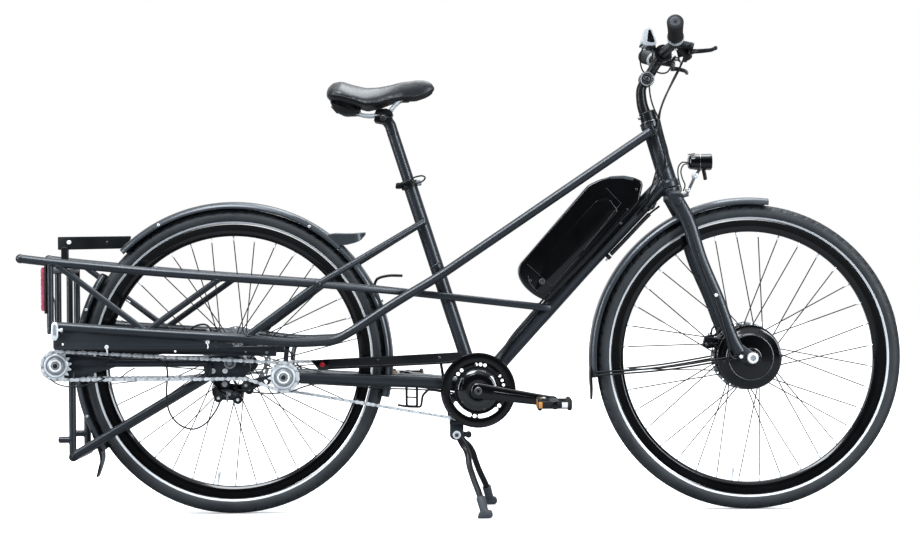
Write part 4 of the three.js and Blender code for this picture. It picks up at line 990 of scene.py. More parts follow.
strut = lambda a, b, r: tube([a, tuple(A(a) * 0.5 + A(b) * 0.5), b], r, 36)
flat_bar = smooth([(-333, -110, 531.4), (-230, -68, 520), (-130, -28, 509), (-58, -21.2, 500.6), (60, -22.4, 486.5), (188, -23.6, 470.6), (196, -20.5, 469.5)], 48)
knob = A((-998.6, -RAIL_Y, 594))
truss = [
    tube(rounded(TOPRAIL, 60, 12), 9.6, 40),
    ball(knob, 10.5, 32),
    ball((-333, -110, 531.4), (11, 10.4, 11), 28),
    strut((-918, -RAIL_Y, 580.5), (-722, -RAIL_Y, 431), 7),
    strut((-546, -RAIL_Y, 549), (-712, -RAIL_Y, 432), 7),
    strut((-338, -112, 528), (-494, -134.6, 414), 8),
    tube([(-333, -110, 531.4), (-218, -67, 599), (-104, -24.5, 667), (-96, -20.5, 671.5)], 7.2, 36),
    tube(flat_bar, [(5 - 1.0 * min(i / 14, 1), 9 - 1.0 * min(i / 14, 1)) for i in range(49)], 32, power=2.6),
    # weld beads at the strut ends
    weld(A(TOPRAIL[1]), unit(A(TOPRAIL[2]) - A(TOPRAIL[1])), 9.6, (-722, -RAIL_Y, 431), unit((-196, 0, 149.5)), 7, 1.5),
    weld(A(TOPRAIL[3]), unit(A(TOPRAIL[2]) - A(TOPRAIL[3])), 9.6, (-712, -RAIL_Y, 432), unit((166, 0, 117)), 7, 1.5),
    weld(A(MAIN[7]), unit(A(MAIN[6]) - A(MAIN[7])), 10.5, (-546, -RAIL_Y, 549), unit((-166, 0, -117)), 7, 1.5),
    weld(A(MAIN[7]), unit(A(MAIN[8]) - A(MAIN[7])), 10.5, (-918, -RAIL_Y, 580.5), unit((196, 0, -149.5)), 7, 1.5),
    weld(A(MAIN[6]), unit(A(MAIN[5]) - A(MAIN[6])), 10.5, (-338, -112, 528), unit((-156, -22.6, -114)), 8, 1.5),
    weld(on_seat(90), seat_dir, 16.2, (-333, -110, 531.4), unit((229, 85.5, 135.6)), 7.2, 1.5),
]
make("side_truss_right_fine", truss, PAINT, "frame", "side_truss_right", angle=45)
make("side_truss_left_fine", [flip(p) for p in truss], PAINT, "frame", "side_truss_left", angle=45)

half = [
    tube([(-932, -RAIL_Y, 427), (-932, -RAIL_Y, 500), (-932, -RAIL_Y, 578)], 7.6, 36),
    (plug((-932, -RAIL_Y, 427), (0, 0, -1), 7.6), MATTE),
    tube([(-932, -60, 362), (-932, -60, 460), (-932, -60, 566)], 7.4, 36),
    about(PIVOT, soft([(9.9, -67.5), (19, -67.5), (19, -53), (9.9, -53)], 1.2, 3, True), 72, True),
    weld((-932, -100, 566), (0, 1, 0), 6.8, (-932, -60, 480), (0, 0, 1), 7.4, 1.4),
    weld(A(TOPRAIL[1]), unit(A(TOPRAIL[2]) - A(TOPRAIL[1])), 9.6, (-932, -RAIL_Y, 480), (0, 0, 1), 7.6, 1.5),
]
plain = lambda parts: [((flip(p[0]), p[1]) if isinstance(p[1], bpy.types.Material) else flip(p)) for p in parts]
make("rear_gate_fine", [
    *half, *plain(half),
    tube([(-932, -RAIL_Y, 566), (-932, 0, 566), (-932, RAIL_Y, 566)], 6.8, 36, ref=(0, 0, 1)),
    about(PIVOT, soft([(0, 54), (9, 54), (9, 94), (0, 94)], 0.8, 2), 48), about(PIVOT, soft([(9, 53.5), (18, 53.5), (18, 66), (9, 66)], 1.0, 2, True), 64, True),
    (bolt((PIVOT[0], 94, PIVOT[1]), (0, 1, 0), 7.5, 3.5), DARKSTEEL),
    # a screw under the fender arm
    (bolt((-939.5, 0, 568), (-1, 0, 0), 4.2, 2.6), SILVER),
    # bright draw latch on the right rail, with its small knob
    (plate(fillet([(-925.5, 451), (-913, 451), (-911, 420), (-915, 410), (-924, 410), (-928, 420)], 5.5, 5), -156.4, -149.6, (), 1.6), SILVER),
    (plate(fillet([(-922.5, 446), (-916, 446), (-915, 422), (-923, 422)], 2.6, 3), -157.6, -156.0, (), 0.5), STEEL),
    (place(turn(soft([(0, 0), (3.2, 0), (3.2, 6), (4.6, 7), (4.6, 11), (0, 12)], 0.6, 2), (0, 0, 0), (0, 1, 0), 28), (-913, -153, 433), (1, 0, 0)), SILVER),
    (bolt((-919.5, -141, 415), (0, -1, 0), 3.0, 9), STEEL),
], PAINT, "frame", "rear_gate", angle=45)

skirt = fillet([(-926, 441), (-926, 388.4), (-520, 388.4), (-510, 394), (-520, 408), (-677, 417), (-700, 424)], 5, 4)
skirt_in = [(-926, 440), (-926, 388), (-521, 388), (-521, 397), (-610, 405), (-677, 410), (-700, 418)]
floor = [
    plate(fillet([(-926, 437), (-926, 389), (-522, 389), (-522, 399), (-610, 408), (-700, 423)], 6, 4), -141, -138.6, [circle((-905, 401), 2.6, 14), circle((-560, 395), 2.2, 14)], 0.5),
    move(plate(fillet([(-924, -139.8), (-924, -90.2), (-441, -90.2), (-441, -103), (-561, -126), (-561, -139.8)], 4, 3), 388, 391, [fillet([(x - 16, -118), (x + 16, -118), (x + 16, -110), (x - 16, -110)], 3.9, 4) for x in (-880, -800, -640, -600)], 0.4), [[1, 0, 0, 0], [0, 0, 1, 0], [0, 1, 0, 0], [0, 0, 0, 1]]),
    plate(fillet([(-924, 390), (-924, 381), (-600, 372.5), (-430, 367.5), (-430, 390)], 3, 3), -92.6, -90, [circle((-870, 383), 2.2, 12), circle((-500, 378), 2.4, 12), circle((-660, 381), 2.4, 12)], 0.4),
]
screws = [
    (bolt((-805.6, -141, 394), (0, -1, 0), 4.6, 3.2), WHITE),
    (bolt((-579, -141, 403), (0, -1, 0), 4.6, 3.2), WHITE),
    (tube([(-805.6, -143, 391), (-804, -143, 384), (-805, -143, 378)], 1.5, 8, cap=1), WHITE),
    (tube([(-579, -143, 399), (-578, -143, 393), (-579, -143, 388)], 1.5, 8, cap=1), WHITE),
    (bolt((-838, -92.8, 377), (0, -1, 0), 3.4, 2.0), DARKSTEEL),
    (bolt((-452, -92.8, 377), (0, -1, 0), 3.6, 2.4), STEEL),
]
make("load_floor_right_fine", floor + screws, PAINT, "frame", "load_floor_right", angle=40)
make("load_floor_left_fine", [flip(p) for p in floor] + plain(screws[4:]), PAINT, "frame", "load_floor_left", angle=40)

stay_pts = smooth([(10, -26, 287.5), (-60, -36, 299.5), (-185, -38.2, 306.5), (-290, -50, 312), (-378, -66, 317)], 30)
stay = [
    tube(stay_pts, [(8.4 + 2.1 * min(max((i - 14) / 10, 0), 1), 13.8) for i in range(31)], 40, power=2.3),
    about(JACK, soft([(9.1, -91), (17, -91), (17, -58), (9.1, -58)], 1.2, 3, True), 80, True),
    tube([(-374, -65.4, 316.8), (-402, -70, 319.5)], [(10.4, 13.6), (7.5, 11)], 32),
    tube(smooth([(-412, -84, 328), (-410, -84, 350), (-408.5, -87, 368), (-404, -107, 388)], 14), 5.5, 24),
    weld((JACK[0], -100, JACK[1]), (0, 1, 0), 17, (-378, -66, 317), unit((-24, -4, 2.5)), (7.4, 10.8), 1.5),
]
make("chain_stay_right_fine", stay + [
    plate(fillet([(-425, 331), (-425, 309), (-495, 293), (-506, 297), (-508, 307), (-499, 313)], 5, 4), -94, -90.6, [circle((-455, 310), 4.5, 20)], 0.7),
    (about((-498.5, 302.5), soft([(0, -104.6), (5.2, -104.6), (5.6, -103.6), (10.4, -103.6), (10.4, -92.4), (0, -92.4)], 0.6, 2), 48), MATTE),
    (about((-498.5, 302.5), [(0, -106.2), (3.2, -106.2), (3.6, -105.2), (3.6, -104), (0, -104)], 24), STEEL),
    weld((28, -40, 284), (0, 1, 0), 22.3, (-60, -34, 299.5), unit((88, 0, -15.5)), (8, 13.5), 1.6),
    # stand stop under the stays, bent from wire
    (tube(rounded([(-137, -30, 292), (-137, -30, 247), (-113, -30, 246), (-113, -30, 290)], 6, 5), 2.9, 14), SATIN),
    (tube([(-137, -30, 268), (-113, -30, 267)], 1.8, 10), SATIN),
    (tube(rounded([(-158, -30, 250), (-134, -30, 246), (-104, -30, 245), (-100, -30, 272), (-80, -30, 291)], 6, 5), 2.7, 14), SATIN),
], PAINT, "frame", "chain_stay_right", angle=42)
make("chain_stay_left_fine", [flip(p) for p in stay], PAINT, "frame", "chain_stay_left", angle=42)


# ---------------------------------------------------------------- mudguards
def guard_rings(c, a, b, n, half=28, ends=3.0):
    """A thin domed channel with rolled edges, its section swept round a wheel."""
    outer = [(353.6, -half), (356, -half - 0.1), (361, -half + 1.5), (365.4, -half + 5), (368, -half + 10), (369.4, -half + 17), (369.6, -6), (370.0, 0), (369.6, 6), (369.4, half - 17), (368, half - 10), (365.4, half - 5), (361, half - 1.5), (356, half + 0.1), (353.6, half)]
    inner = [(353.4, half - 1.8), (356, half - 2.4), (360.4, half - 4), (364, half - 7), (366.3, half - 11.6), (367.6, half - 18), (367.9, 0), (367.6, -half + 18), (366.3, -half + 11.6), (364, -half + 7), (360.4, -half + 4), (356, -half + 2.4), (353.4, -half + 1.8)]
    line = outer + inner
    rings = []
    for i in range(n + 1):
        d = a + (b - a) * i / n
        rings.append([(*polar(c, r, d)[:1], y, polar(c, r, d)[1]) for r, y in line])
    return loft(rings)


def bridge(c, d, r, half, body_part=None):
    """The wire stay's screws on both sides of a mudguard."""
    p = polar(c, r, d)
    return [(bolt((p[0], -half, p[1]), (0, -1, 0), 3.4, 2.4), SILVER), (bolt((p[0], half, p[1]), (0, 1, 0), 3.4, 2.4), SILVER)]


nose = [polar(REAR, 366, 52), (-312, 628), (-292, 629), (-262, 631.5), (-246, 637), (-236.5, 645.2), (-262, 644.2), (-300, 644.5), (-318, 639.5)]
nose_rings = []
for x, zt, zb, w in ((-320, 641.0, 634, 20), (-314, 647.0, 628.5, 24), (-301, 648.8, 622.0, 26), (-290, 648.6, 619.6, 26), (-275, 648, 621.0, 25.5), (-258, 648.2, 625.0, 24), (-247, 648.8, 629.0, 22), (-240, 649.4, 633.5, 18), (-233, 649.8, 641.0, 12), (-229.8, 649.8, 645.4, 7)):
    ringp = []
    for k in range(9):
        f = k / 8 * 2 - 1
        ringp.append((x, w * f, zt - 2.6 * f * f))
    for k in range(9):
        f = 1 - k / 8 * 2
        ringp.append((x, w * 0.96 * f, min(zb + 1.8 * (1 - f * f), zt - 3.4)))
    nose_rings.append(ringp)
make("rear_fender_top_fine", [guard_rings(REAR, 46.5, 135, 90), loft(nose_rings),
    *bridge(REAR, 118, 359, 28.4), *bridge(REAR, 60, 359, 28.4)], GUARD, "frame", "rear_fender_top", angle=50)
make("rear_fender_front_fine", [guard_rings(REAR, -13.5, 46.2, 64),
    (tube(smooth([(*polar(REAR, 371, 28)[:1], 0, polar(REAR, 371, 28)[1]), (-205, 0, 540), (-180, 0, 548), (-145, 0, 548)], 10), 3.2, 14), SATIN),
    (bolt((*polar(REAR, 370, 22)[:1], 0, polar(REAR, 370, 22)[1]), unit((math.cos(math.radians(22)), 0, math.sin(math.radians(22)))), 5.0, 3.5), SILVER),
    ], GUARD, "frame", "rear_fender_front", angle=50)

arm_end = [polar(REAR, 371.4, d) for d in range(128, 139, 2)]
arm_end = [p for p in arm_end if 617 < p[1] < 645.4][::-1]
make("fender_arm_fine", [
    plate(fillet([(-945, 614.8), (-799.5, 616.5), *arm_end, (-775, 645.6), (-945, 645)], 2.4, 3), -3, 3, (), 0.7),
    rbox(-937, -921, -7, 7, 573.0, 622, 1.6),
    (bolt((-918.5, -3, 632), (0, -1, 0), 5.2, 3.0, False), WHITE),
    (bolt((-830, -3, 631), (0, -1, 0), 3.0, 1.8), DARKSTEEL),
], SATIN, "frame", "fender_arm", angle=40)

make("rear_fender_rear_fine", [guard_rings(REAR, 146, 214, 70),
(loft([[(polar(REAR, r + q, d)[0], y, polar(REAR, r + q, d)[1]) for q, y in ((0, -w), (k * 0.5, -w - 0.8), (k, -w), (k + 1.2, 0), (k, w), (k * 0.5, w + 0.8), (0, w), (0.8, 0))] for d, r, k, w in ((205, 360, 5, 25), (209, 362.5, 6.5, 25), (212.5, 366, 7, 24), (214.8, 371.5, 6.6, 23), (216.4, 379, 5.8, 22), (217.6, 389, 6.4, 21), (218.6, 399, 5.6, 20), (219.4, 408, 4.2, 18), (219.9, 414, 2.8, 16))]), SATIN),
    *bridge(REAR, 160, 359, 28.4), *bridge(REAR, 200, 359, 28.4)], GUARD, "swing", "rear_fender_rear", angle=50)


# front mudguard with its two pairs of stay rods and the flap
blade_pts = smooth([(483, -37, 726), (512.4, -46, 670), (540.7, -55, 578), (578.9, -60, 486), (612.4, -60.5, 394.4), (628, -60.5, 366)], 40)
rods = []
for p in ([(628, 359.5), (458, 333), (296, 321)], [(628, 353.5), (458, 327), (297.5, 314)]):
    for s in (-1, 1):
        rods.append((tube(smooth([(p[0][0], s * 71, p[0][1]), (p[1][0], s * 56, p[1][1]), (p[2][0], s * 28.6, p[2][1])], 24), 2.1, 12, cap=1.2), SATIN))
        rods.append((place(turn(soft([(0, -5), (3.6, -5), (3.6, 5), (0, 5)], 0.8, 2), (0, 0, 0), (0, 1, 0), 20), (p[2][0], s * 29.2, p[2][1]), (0, 0, 1)), MATTE))
make("front_fender_fine", [guard_rings(FRONT, 82.5, 187, 110),
    (loft([[(polar(FRONT, r + q, d)[0], y, polar(FRONT, r + q, d)[1]) for q, y in ((0, -w), (k * 0.5, -w - 0.6), (k, -w), (k + 1.0, 0), (k, w), (k * 0.5, w + 0.6), (0, w), (0.7, 0))] for d, r, k, w in ((183, 364, 4, 24), (186, 365.4, 5, 24), (188.5, 367, 5, 24), (191, 369.2, 4.4, 23), (193, 372.4, 3.6, 22), (194.6, 376, 2.6, 20))]), SATIN),
    *rods,
    (bolt((628.5, -74.5, 356.5), (0, -1, 0), 4.4, 2.6, False), WHITE), (bolt((628.5, 74.5, 356.5), (0, 1, 0), 4.4, 2.6), DARKSTEEL),
    (plate(fillet([(622, 365), (635, 363), (637, 349), (622, 348)], 3, 3), -74.5, -68, (), 0.8), SATIN), (plate(fillet([(622, 365), (635, 363), (637, 349), (622, 348)], 3, 3), 68, 74.5, (), 0.8), SATIN),
    (bolt((*polar(FRONT, 370, 111)[:1], 0, polar(FRONT, 370, 111)[1]), unit((math.cos(math.radians(111)), 0, math.sin(math.radians(111)))), 4, 2.2), SILVER),
], GUARD, "steering", "front_fender", angle=50)


# ---------------------------------------------------------------- fork
crown = on_head(HEAD_LEN + 14)
drop = fillet([(610, 376), (632, 385), (650, 372), (669, 362.5), (671.5, 346), (662, 338.5), (640, 341), (618, 353)], 4.5, 4)
blade = tube(blade_pts, [(10 - 1.6 * i / 40, 17.5 - 3.5 * i / 40) for i in range(41)], 44, power=2.2)
fork = [
    tube(smooth([(486, -47, 721), (484, -26, 729), (483, 0, 731), (484, 26, 729), (486, 47, 721)], 20), (11.5, 18.5), 40, ref=(0, 0, 1), power=2.4),
    turn(soft([(0, HEAD_LEN + 0.9), (22, HEAD_LEN + 0.9), (23, HEAD_LEN + 3), (22.5, HEAD_LEN + 9), (20, HEAD_LEN + 18), (0, HEAD_LEN + 18)], 1.6, 3), on_head(0), head_dir, 72),
    turn([(0, -22), (13.8, -22), (13.8, HEAD_LEN), (0, HEAD_LEN)], on_head(0), head_dir, 40),
    blade, flip(blade),
    plate(drop, -66, -54, (), 1.6), plate(drop, 54, 66, (), 1.6),
    weld((484, -60, 724), (0, 1, 0), 17.6, tuple(blade_pts[5]), tuple(blade_pts[0] - blade_pts[5]), (9.6, 17.0), 1.5),
]
fork_bits = [
    (about(FRONT, [(0, -76), (5.2, -76), (6, -75), (6, 75), (5.2, 76), (0, 76)], 32), STEEL),
    (about(FRONT, soft([(6, -66.2), (13.4, -66.2), (13.4, -68.4), (6, -68.4)], 0.4, 2, True), 48, True), STEEL),
    (about(FRONT, soft([(6.4, -68.2), (12.0, -68.2), (12.4, -70), (12.0, -75.4), (6.4, -75.8)], 0.8, 3, True), 56, True), WHITE), (about(FRONT, soft([(0, -74.6), (6.3, -74.6), (6.3, -70), (0, -70)], 0.5, 2), 40), DARKSTEEL),
    (nut((FRONT[0], 68.2, FRONT[1]), (0, 1, 0), 11.2, 6.6), SILVER),
    (about(FRONT, soft([(6, 66.2), (13.4, 66.2), (13.4, 68.4), (6, 68.4)], 0.4, 2, True), 48, True), STEEL),
    # lamp and mudguard bolt on the blade
    (bolt((573.4, -69.4, 497.6), (0, -1, 0), 4.2, 2.6, False), WHITE),
    (bolt((573.4, 69.4, 497.6), (0, 1, 0), 4.2, 2.6), DARKSTEEL),
]
make("fork_fine", fork + fork_bits, PAINT, "steering", "fork", angle=42)

# ---------------------------------------------------------------- frame fittings
make("seat_clamp_fine", [
    turn(soft([(16.3, 2), (21, 2), (21, 15), (16.3, 15)], 1.2, 3, True), on_seat(0), seat_dir, 80, True),
    turn(soft([(16.3, 0.4), (18.6, 0.4), (18.6, 2.4), (16.3, 2.4)], 0.4, 2, True), on_seat(0), seat_dir, 80, True),
    plate(fillet([(-160, 750), (-144, 750), (-142, 764), (-158, 764)], 4, 4), -6.5, 9, (), 1.2),
    plate(fillet([(-118, 757), (-99, 757), (-99, 769), (-116, 771)], 4.5, 4), -9, 9, (), 1.2),
    (place(turn(soft([(3.4, 0), (6.2, 0), (6.2, 3), (3.4, 3)], 0.5, 2, True), (0, 0, 0), (0, 1, 0), 32), (-105.5, -9.4, 764), (0, -1, 0)), STEEL),
    (bolt((-105.5, -9, 764), (0, -1, 0), 4.2, 2.8), SILVER),
    (nut((-151, 9, 757), (0, 1, 0), 5.6, 6.0), SILVER),
], SATIN, "frame", "seat_clamp", angle=40)

make("seat_quick_release_lever", [
    tube([(-151, -7.0, 757), (-151, -13, 757)], 2.6, 20),
    (about((-151, 757), soft([(0, -16.8), (4.2, -16.8), (5.0, -15.6), (5.0, -10.4), (0, -10.4)], 0.8, 3), 32), SATIN),
    (tube(smooth([(-152, -13, 756.4), (-146, -19, 759.5), (-134, -28, 764), (-122, -31, 767)], 20), lambda t: (3.2, 4.2), 24, power=2.6, cap=2.0), SATIN),
    (tube(smooth([(-122, -31, 767), (-114, -31.2, 761.5), (-103, -31.4, 762.5), (-93, -31.4, 768), (-90, -31.4, 774), (-96, -31.4, 778), (-108, -31.4, 776.5), (-119, -31.2, 772.5), (-123, -31, 768)], 44), 1.9, 16), SATIN),
], STEEL, "seat_lever", "seat_qr_lever", angle=40)

cover = fillet([(-350, 355.5), (-338, 342), (-330, 334.5), (-190, 339.6), (-36, 346.0), (-16, 352), (-10, 372.5), (-30, 371.4), (-150, 365.8), (-340, 357.4)], 4, 4)
make("chain_cover_fine", [
    plate(cover, -64.5, -61, (), 0.9),
    (tube(smooth([(-316, -66.4, 340.4), (-190, -66.4, 344.0), (-40, -66.4, 350), (-22, -66.4, 354)], 30), (1.4, 1.5), 10, cap=1), MATTE),
    # the dark end with its round cap
    (plate(fillet([(-355, 356.5), (-336, 333.8), (-314, 334.4), (-310, 359)], 3, 4), -67.6, -60.4, (), 1.2), GLOSS),
    (bolt((-328, -67.4, 346.2), (0, -1, 0), 5.4, 2.2, False), REDDOT),
    (bolt((-60, -64.5, 360), (0, -1, 0), 3.4, 2.0), DARKSTEEL),
    (bolt((-200, -64.5, 356), (0, -1, 0), 3.0, 2.0), DARKSTEEL),
    (tube([(-60, -62, 358), (-58, -46, 352), (-52, -34, 312)], 3.2, 14), SATIN),
], SATIN, "frame", "chain_cover", angle=40)

lamp = fillet([(-951.5, 479), (-948, 476), (-943, 476), (-943, 574.5), (-948, 574.5), (-951.5, 571.5)], 1.4, 3)
make("tail_lamp_fine", [
    (plate(lamp, -146, -130, (), 1.8), RED),
    *[((rbox(-952.1, -950.6, -144, -132, 482 + 10 * i, 489.4 + 10 * i, 0.6, 2)), RED) for i in range(9)],
    (rbox(-943.6, -939.6, -147, -129, 470, 580, 1.4, 3), MATTE),
    (rbox(-944, -931, -143, -133, 520, 540, 2.0, 3), MATTE),
], RED, "frame", "tail_lamp", angle=40)


# ---------------------------------------------------------------- battery
def edge(x, o):
    return (x - 0.737 * o, 348 + (x - 82) * 1.0905 + 0.676 * o)


pack = [(127, 573), (122, 560), (123.5, 546), (131, 530), (141, 517), (156, 503.5), (172, 493.5), (190, 486), edge(300, 9), edge(409, 9), (412, 752), (409, 762), (392, 770), (368, 775), (342, 774), (312, 766), (286, 754)]
pack = fillet(pack, 7, 5)


def battery_shell():
    """The pack's case: its outline carried across the width, drawn in towards both flanks."""
    flat = A(pack)
    rings = []
    for y, d in ((-43, 5.0), (-42.4, 2.6), (-40.6, 1.0), (-37, 0.25), (-33, 0), (33, 0), (37, 0.25), (40.6, 1.0), (42.4, 2.6), (43, 5.0)):
        loop = A(inset([tuple(p) for p in flat], d)) if d else flat
        rings.append([(p[0], y, p[1]) for p in loop])
    return loft(rings)


pack_screws = [(bolt((x, -42.6, z), (0, -1, 0), 3.0, 1.2), DARKSTEEL) for x, z in ((150, 534), (396, 742), (196, 504), (360, 664))]
ax_, up_ = A((0.676, 0.737)), A((-0.737, 0.676))
corner = A(edge(190, 9))


def on_side(f, o):
    p = corner + ax_ * f + up_ * o
    return (float(p[0]), float(p[1]))


lower_panel = fillet([on_side(14, 8), on_side(296, 8), on_side(296, 15), on_side(14, 15)], 3, 3)
upper_panel = fillet([on_side(18, 23), on_side(278, 23), on_side(285, 62), on_side(262, 77), on_side(100, 77), on_side(10, 44)], 9, 5)
strip = fillet([on_side(268, 20), on_side(309, 8), on_side(309, 20), on_side(282, 27)], 4, 3)
make("battery_pack_case", [
    battery_shell(),
    plate(upper_panel, -44.0, -42.0, (), 0.9), plate(upper_panel, 42.0, 44.0, (), 0.9),
    plate(lower_panel, -43.9, -42.0, (), 0.8), plate(lower_panel, 42.0, 43.9, (), 0.8),
    # lighter grey strip along the upper end, a painted highlight on the black top edge; lock, charge cap, seam
    (plate(fillet([(332, 772.2), (368, 773.6), (392, 768.2), (388, 762), (366, 767), (336, 766.4)], 3, 3), -43.6, -40, (), 0.7), FOOT),
    (plate(fillet([(332, 772.2), (368, 773.6), (392, 768.2), (388, 762), (366, 767), (336, 766.4)], 3, 3), 40, 43.6, (), 0.7), FOOT),
    (about(on_side(40, 45), soft([(0, -45.0), (6.6, -45.0), (7.4, -43), (0, -43)], 0.5, 2), 36), DARKSTEEL),
    (plate(fillet([on_side(62, 40), on_side(84, 40), on_side(84, 52), on_side(62, 52)], 5, 4), 42, 44.8, (), 0.8), MATTE),
    *pack_screws,
    (tube([(326, -44.1, 746), (360, -44.1, 710.5), (274, -44.1, 604)], 0.55, 8), FOOT), (tube([(143, -43.4, 572.5), (200, -43.6, 521.5), (262, -44.0, 588)], 0.55, 8), FOOT),
    (tube(smooth([(145, -43.2, 546), (149, -43.4, 530), (160, -43.4, 516), (171, -43.2, 507)], 20), 0.8, 8), FOOT),
    (tube(smooth([(129.5, -42.0, 574), (126, -42.0, 560), (128, -42.0, 547)], 12), 0.7, 8), FOOT),
], GLOSS, "battery", "battery_pack", angle=40)


# ---------------------------------------------------------------- stem, bar, grips
stem_tube = smooth([on_head(-4), (419, 0, 928), (413.9, 0, 951.5), (413.5, 0, 975), (418, 0, 988)], 30)
drum = (425.5, 998.6)
make("stem_with_hinge_drum", [
    turn(soft([(0, -2.6), (19, -2.6), (19.2, -5), (19.2, -24), (17, -27), (0, -27)], 1.2, 3), on_head(0), head_dir, 72),
    (turn(soft([(17, -1.6), (20.4, -1.6), (20.4, -4.0), (17, -4.0)], 0.5, 2, True), on_head(0), head_dir, 72, True), DARKSTEEL),
    tube(stem_tube, [(13.4 - 2.4 * i / 30, 14.4 - 3.4 * i / 30) for i in range(31)], 44),
    about(drum, soft([(0, -17), (17.4, -17), (17.6, -15), (17.6, 15), (17.4, 17), (0, 17)], 1.2, 3), 96),
    *[(about(drum, soft([(r0, -18.3), (r1, -18.3), (r1, -16.6), (r0, -16.6)], 0.4, 2, True), 80, True), m) for r0, r1, m in ((13.4, 16.6, STEEL), (8.0, 11.6, DARKSTEEL))],
    (bolt((drum[0], -17.2, drum[1]), (0, -1, 0), 6.2, 3.2), DARKSTEEL),
    (bolt((drum[0], 17.2, drum[1]), (0, 1, 0), 6.2, 3.2), DARKSTEEL),
    tube(smooth([(425.5, 0, 998.6), (436, 0, 1014), (448, 0, 1034), (460, 0, 1052)], 16), (16.5, 11.6), 40, power=2.8),
    about((463, 1058), soft([(12.8, -21), (19.4, -21), (20, -19), (20, 19), (19.4, 21), (12.8, 21)], 1.0, 3, True), 80, True),
    rbox(470, 484, -17, 17, 1045, 1053, 2.4, 3),
    *[(bolt((481, y, 1055.5), unit((0.9, 0, 0.35)), 3.6, 4.4), STEEL) for y in (-11, 11)],
    *[(bolt(tuple(on_head(-15) + A((-19.0, y, -4))), (-1, 0, -0.2), 3.6, 3.8), STEEL) for y in (-6, 6)],
], SATIN, "steering", "stem", angle=40)

bar_half = rounded([(463, 0, 1058), (463, -36, 1058), (474, -150, 1063), (470, -198, 1065), (456, -308, 1089)], 44, 12)
bar_all = [tuple(A(p) * (1, -1, 1)) for p in bar_half[:0:-1]] + [tuple(p) for p in bar_half]
BAR_DIR = unit(A((456, -308, 1089)) - A((470, -198, 1065)))
BAR_TIP = A((456, -308, 1089))
nb = len(bar_all)
make("handlebar_fine", [
    tube(bar_all, [12.6 if abs(i - nb // 2) < 3 else 11.0 + 1.6 * max(0, 1 - (abs(i - nb // 2) - 3) / 6) for i in range(nb)], 44, ref=(1, 0, 0)),
], SATIN, "steering", "handlebar", angle=45)


def grip(side):
    """A shaped palm grip with ribs, a palm flare at the outer end and a lock ring."""
    prof = [(11.1, 110), (14.6, 110), (15.1, 108), (15.1, 95.5)]
    t = 94.0
    while t > 3:
        base = np.interp(t, [-3, 3, 40, 72, 88, 94], [15.5, 18.3, 17.0, 16.4, 17.8, 15.6])
        rib = 0.42 if 10 < t < 84 else 0
        prof += [(base - rib, t), (base, t - 0.7), (base, t - 1.7), (base - rib, t - 2.3)]
        t -= 2.9
    prof += [(18.0, 1.5), (17.2, -1.4), (15.2, -3.0), (8.4, -3.5), (0.0, -3.2)]

    def wave(a, r, y):
        f = 1 + (0.10 * max(0, math.cos(a - 0.6)) if y < 60 and r > 12 else 0)
        return r * f
    part = turn(prof, BAR_TIP, -BAR_DIR, 72)
    ringp = turn(soft([(12, 96), (18.6, 96), (19.4, 99), (18.2, 104), (12, 106)], 0.8, 3, True), BAR_TIP, -BAR_DIR, 64, True)
    cap_ = turn(soft([(0, -5.0), (9, -5.0), (11.4, -3.8), (11.6, -2.8), (0, -2.8)], 0.5, 2), BAR_TIP, -BAR_DIR, 48)
    lock = place(turn(soft([(0, 0), (2.6, 0), (2.6, 3.6), (0, 3.6)], 0.4, 2), (0, 0, 0), (0, 1, 0), 20), BAR_TIP - BAR_DIR * 101 + A((13.6, 0, -6)), (0.9, 0, -0.4))
    parts = [part, (ringp, GREY), (cap_, FOOT), (turn(soft([(0, -6.0), (3.4, -6.0), (3.8, -4.6), (0, -4.6)], 0.4, 2), BAR_TIP, -BAR_DIR, 24), MATTE), (lock, STEEL)]
    return parts if side < 0 else plain(parts)


make("grip_right_fine", grip(-1), RUBBER, "steering", "grip_right", angle=50)
make("grip_left_fine", grip(1), RUBBER, "steering", "grip_left", angle=50)

clamp_dir = unit(A((474, -160, 1063.6)) - A((471.5, -184, 1064.9)))
control = [
    turn(soft([(11, 0), (15.4, 0), (16, 1.4), (16, 22.6), (15.4, 24), (11, 24)], 0.8, 3, True), (471.5, -184, 1064.9), clamp_dir, 64, True),
    (tube(smooth([(476, -172, 1061), (490, -170, 1058), (500, -168, 1056), (513, -166, 1052.5)], 16), (11.4, 8.6), 32, power=2.8, cap=3), SATIN),
    (tube(smooth([(505, -180, 1054), (505, -150, 1055), (499, -130, 1058)], 18), 6.2, 28, cap=1.6), SATIN),
    (turn(soft([(0, 0), (3.8, 0), (3.8, 5), (2.6, 9), (0, 9)], 0.4, 2), (499, -131, 1057.6), unit((-1.6, 22, 3)), 24), STEEL),
    (bolt((512, -166, 1060.6), (0, 0, 1), 3.6, 2.0), STEEL),
    (bolt((474, -172, 1048), (0.2, 0, -1), 3.2, 3.0), STEEL),
    (rbox(492, 512, -172, -152, 1058.5, 1063.5, 2.2, 3), SATIN),
]
shifter = [
    (tube(smooth([(478, -150, 1060), (486, -148, 1056), (496, -147, 1044), (508, -146, 1027)], 20), (12, 9.4), 36, power=2.6, cap=5), MATTE),
    (tube(smooth([(484, -136, 1052), (488, -128, 1042), (490, -122, 1036)], 12), (3.0, 6.0), 20, cap=2), MATTE),
    (tube(smooth([(498, -138, 1034), (500, -126, 1028), (500, -118, 1026)], 12), (2.6, 5.0), 20, cap=2), SATIN),
]
make("controls_right_fine", control + shifter, MATTE, "steering", "control_right", angle=42)
make("controls_left_fine", plain(control), MATTE, "steering", "control_left", angle=42)

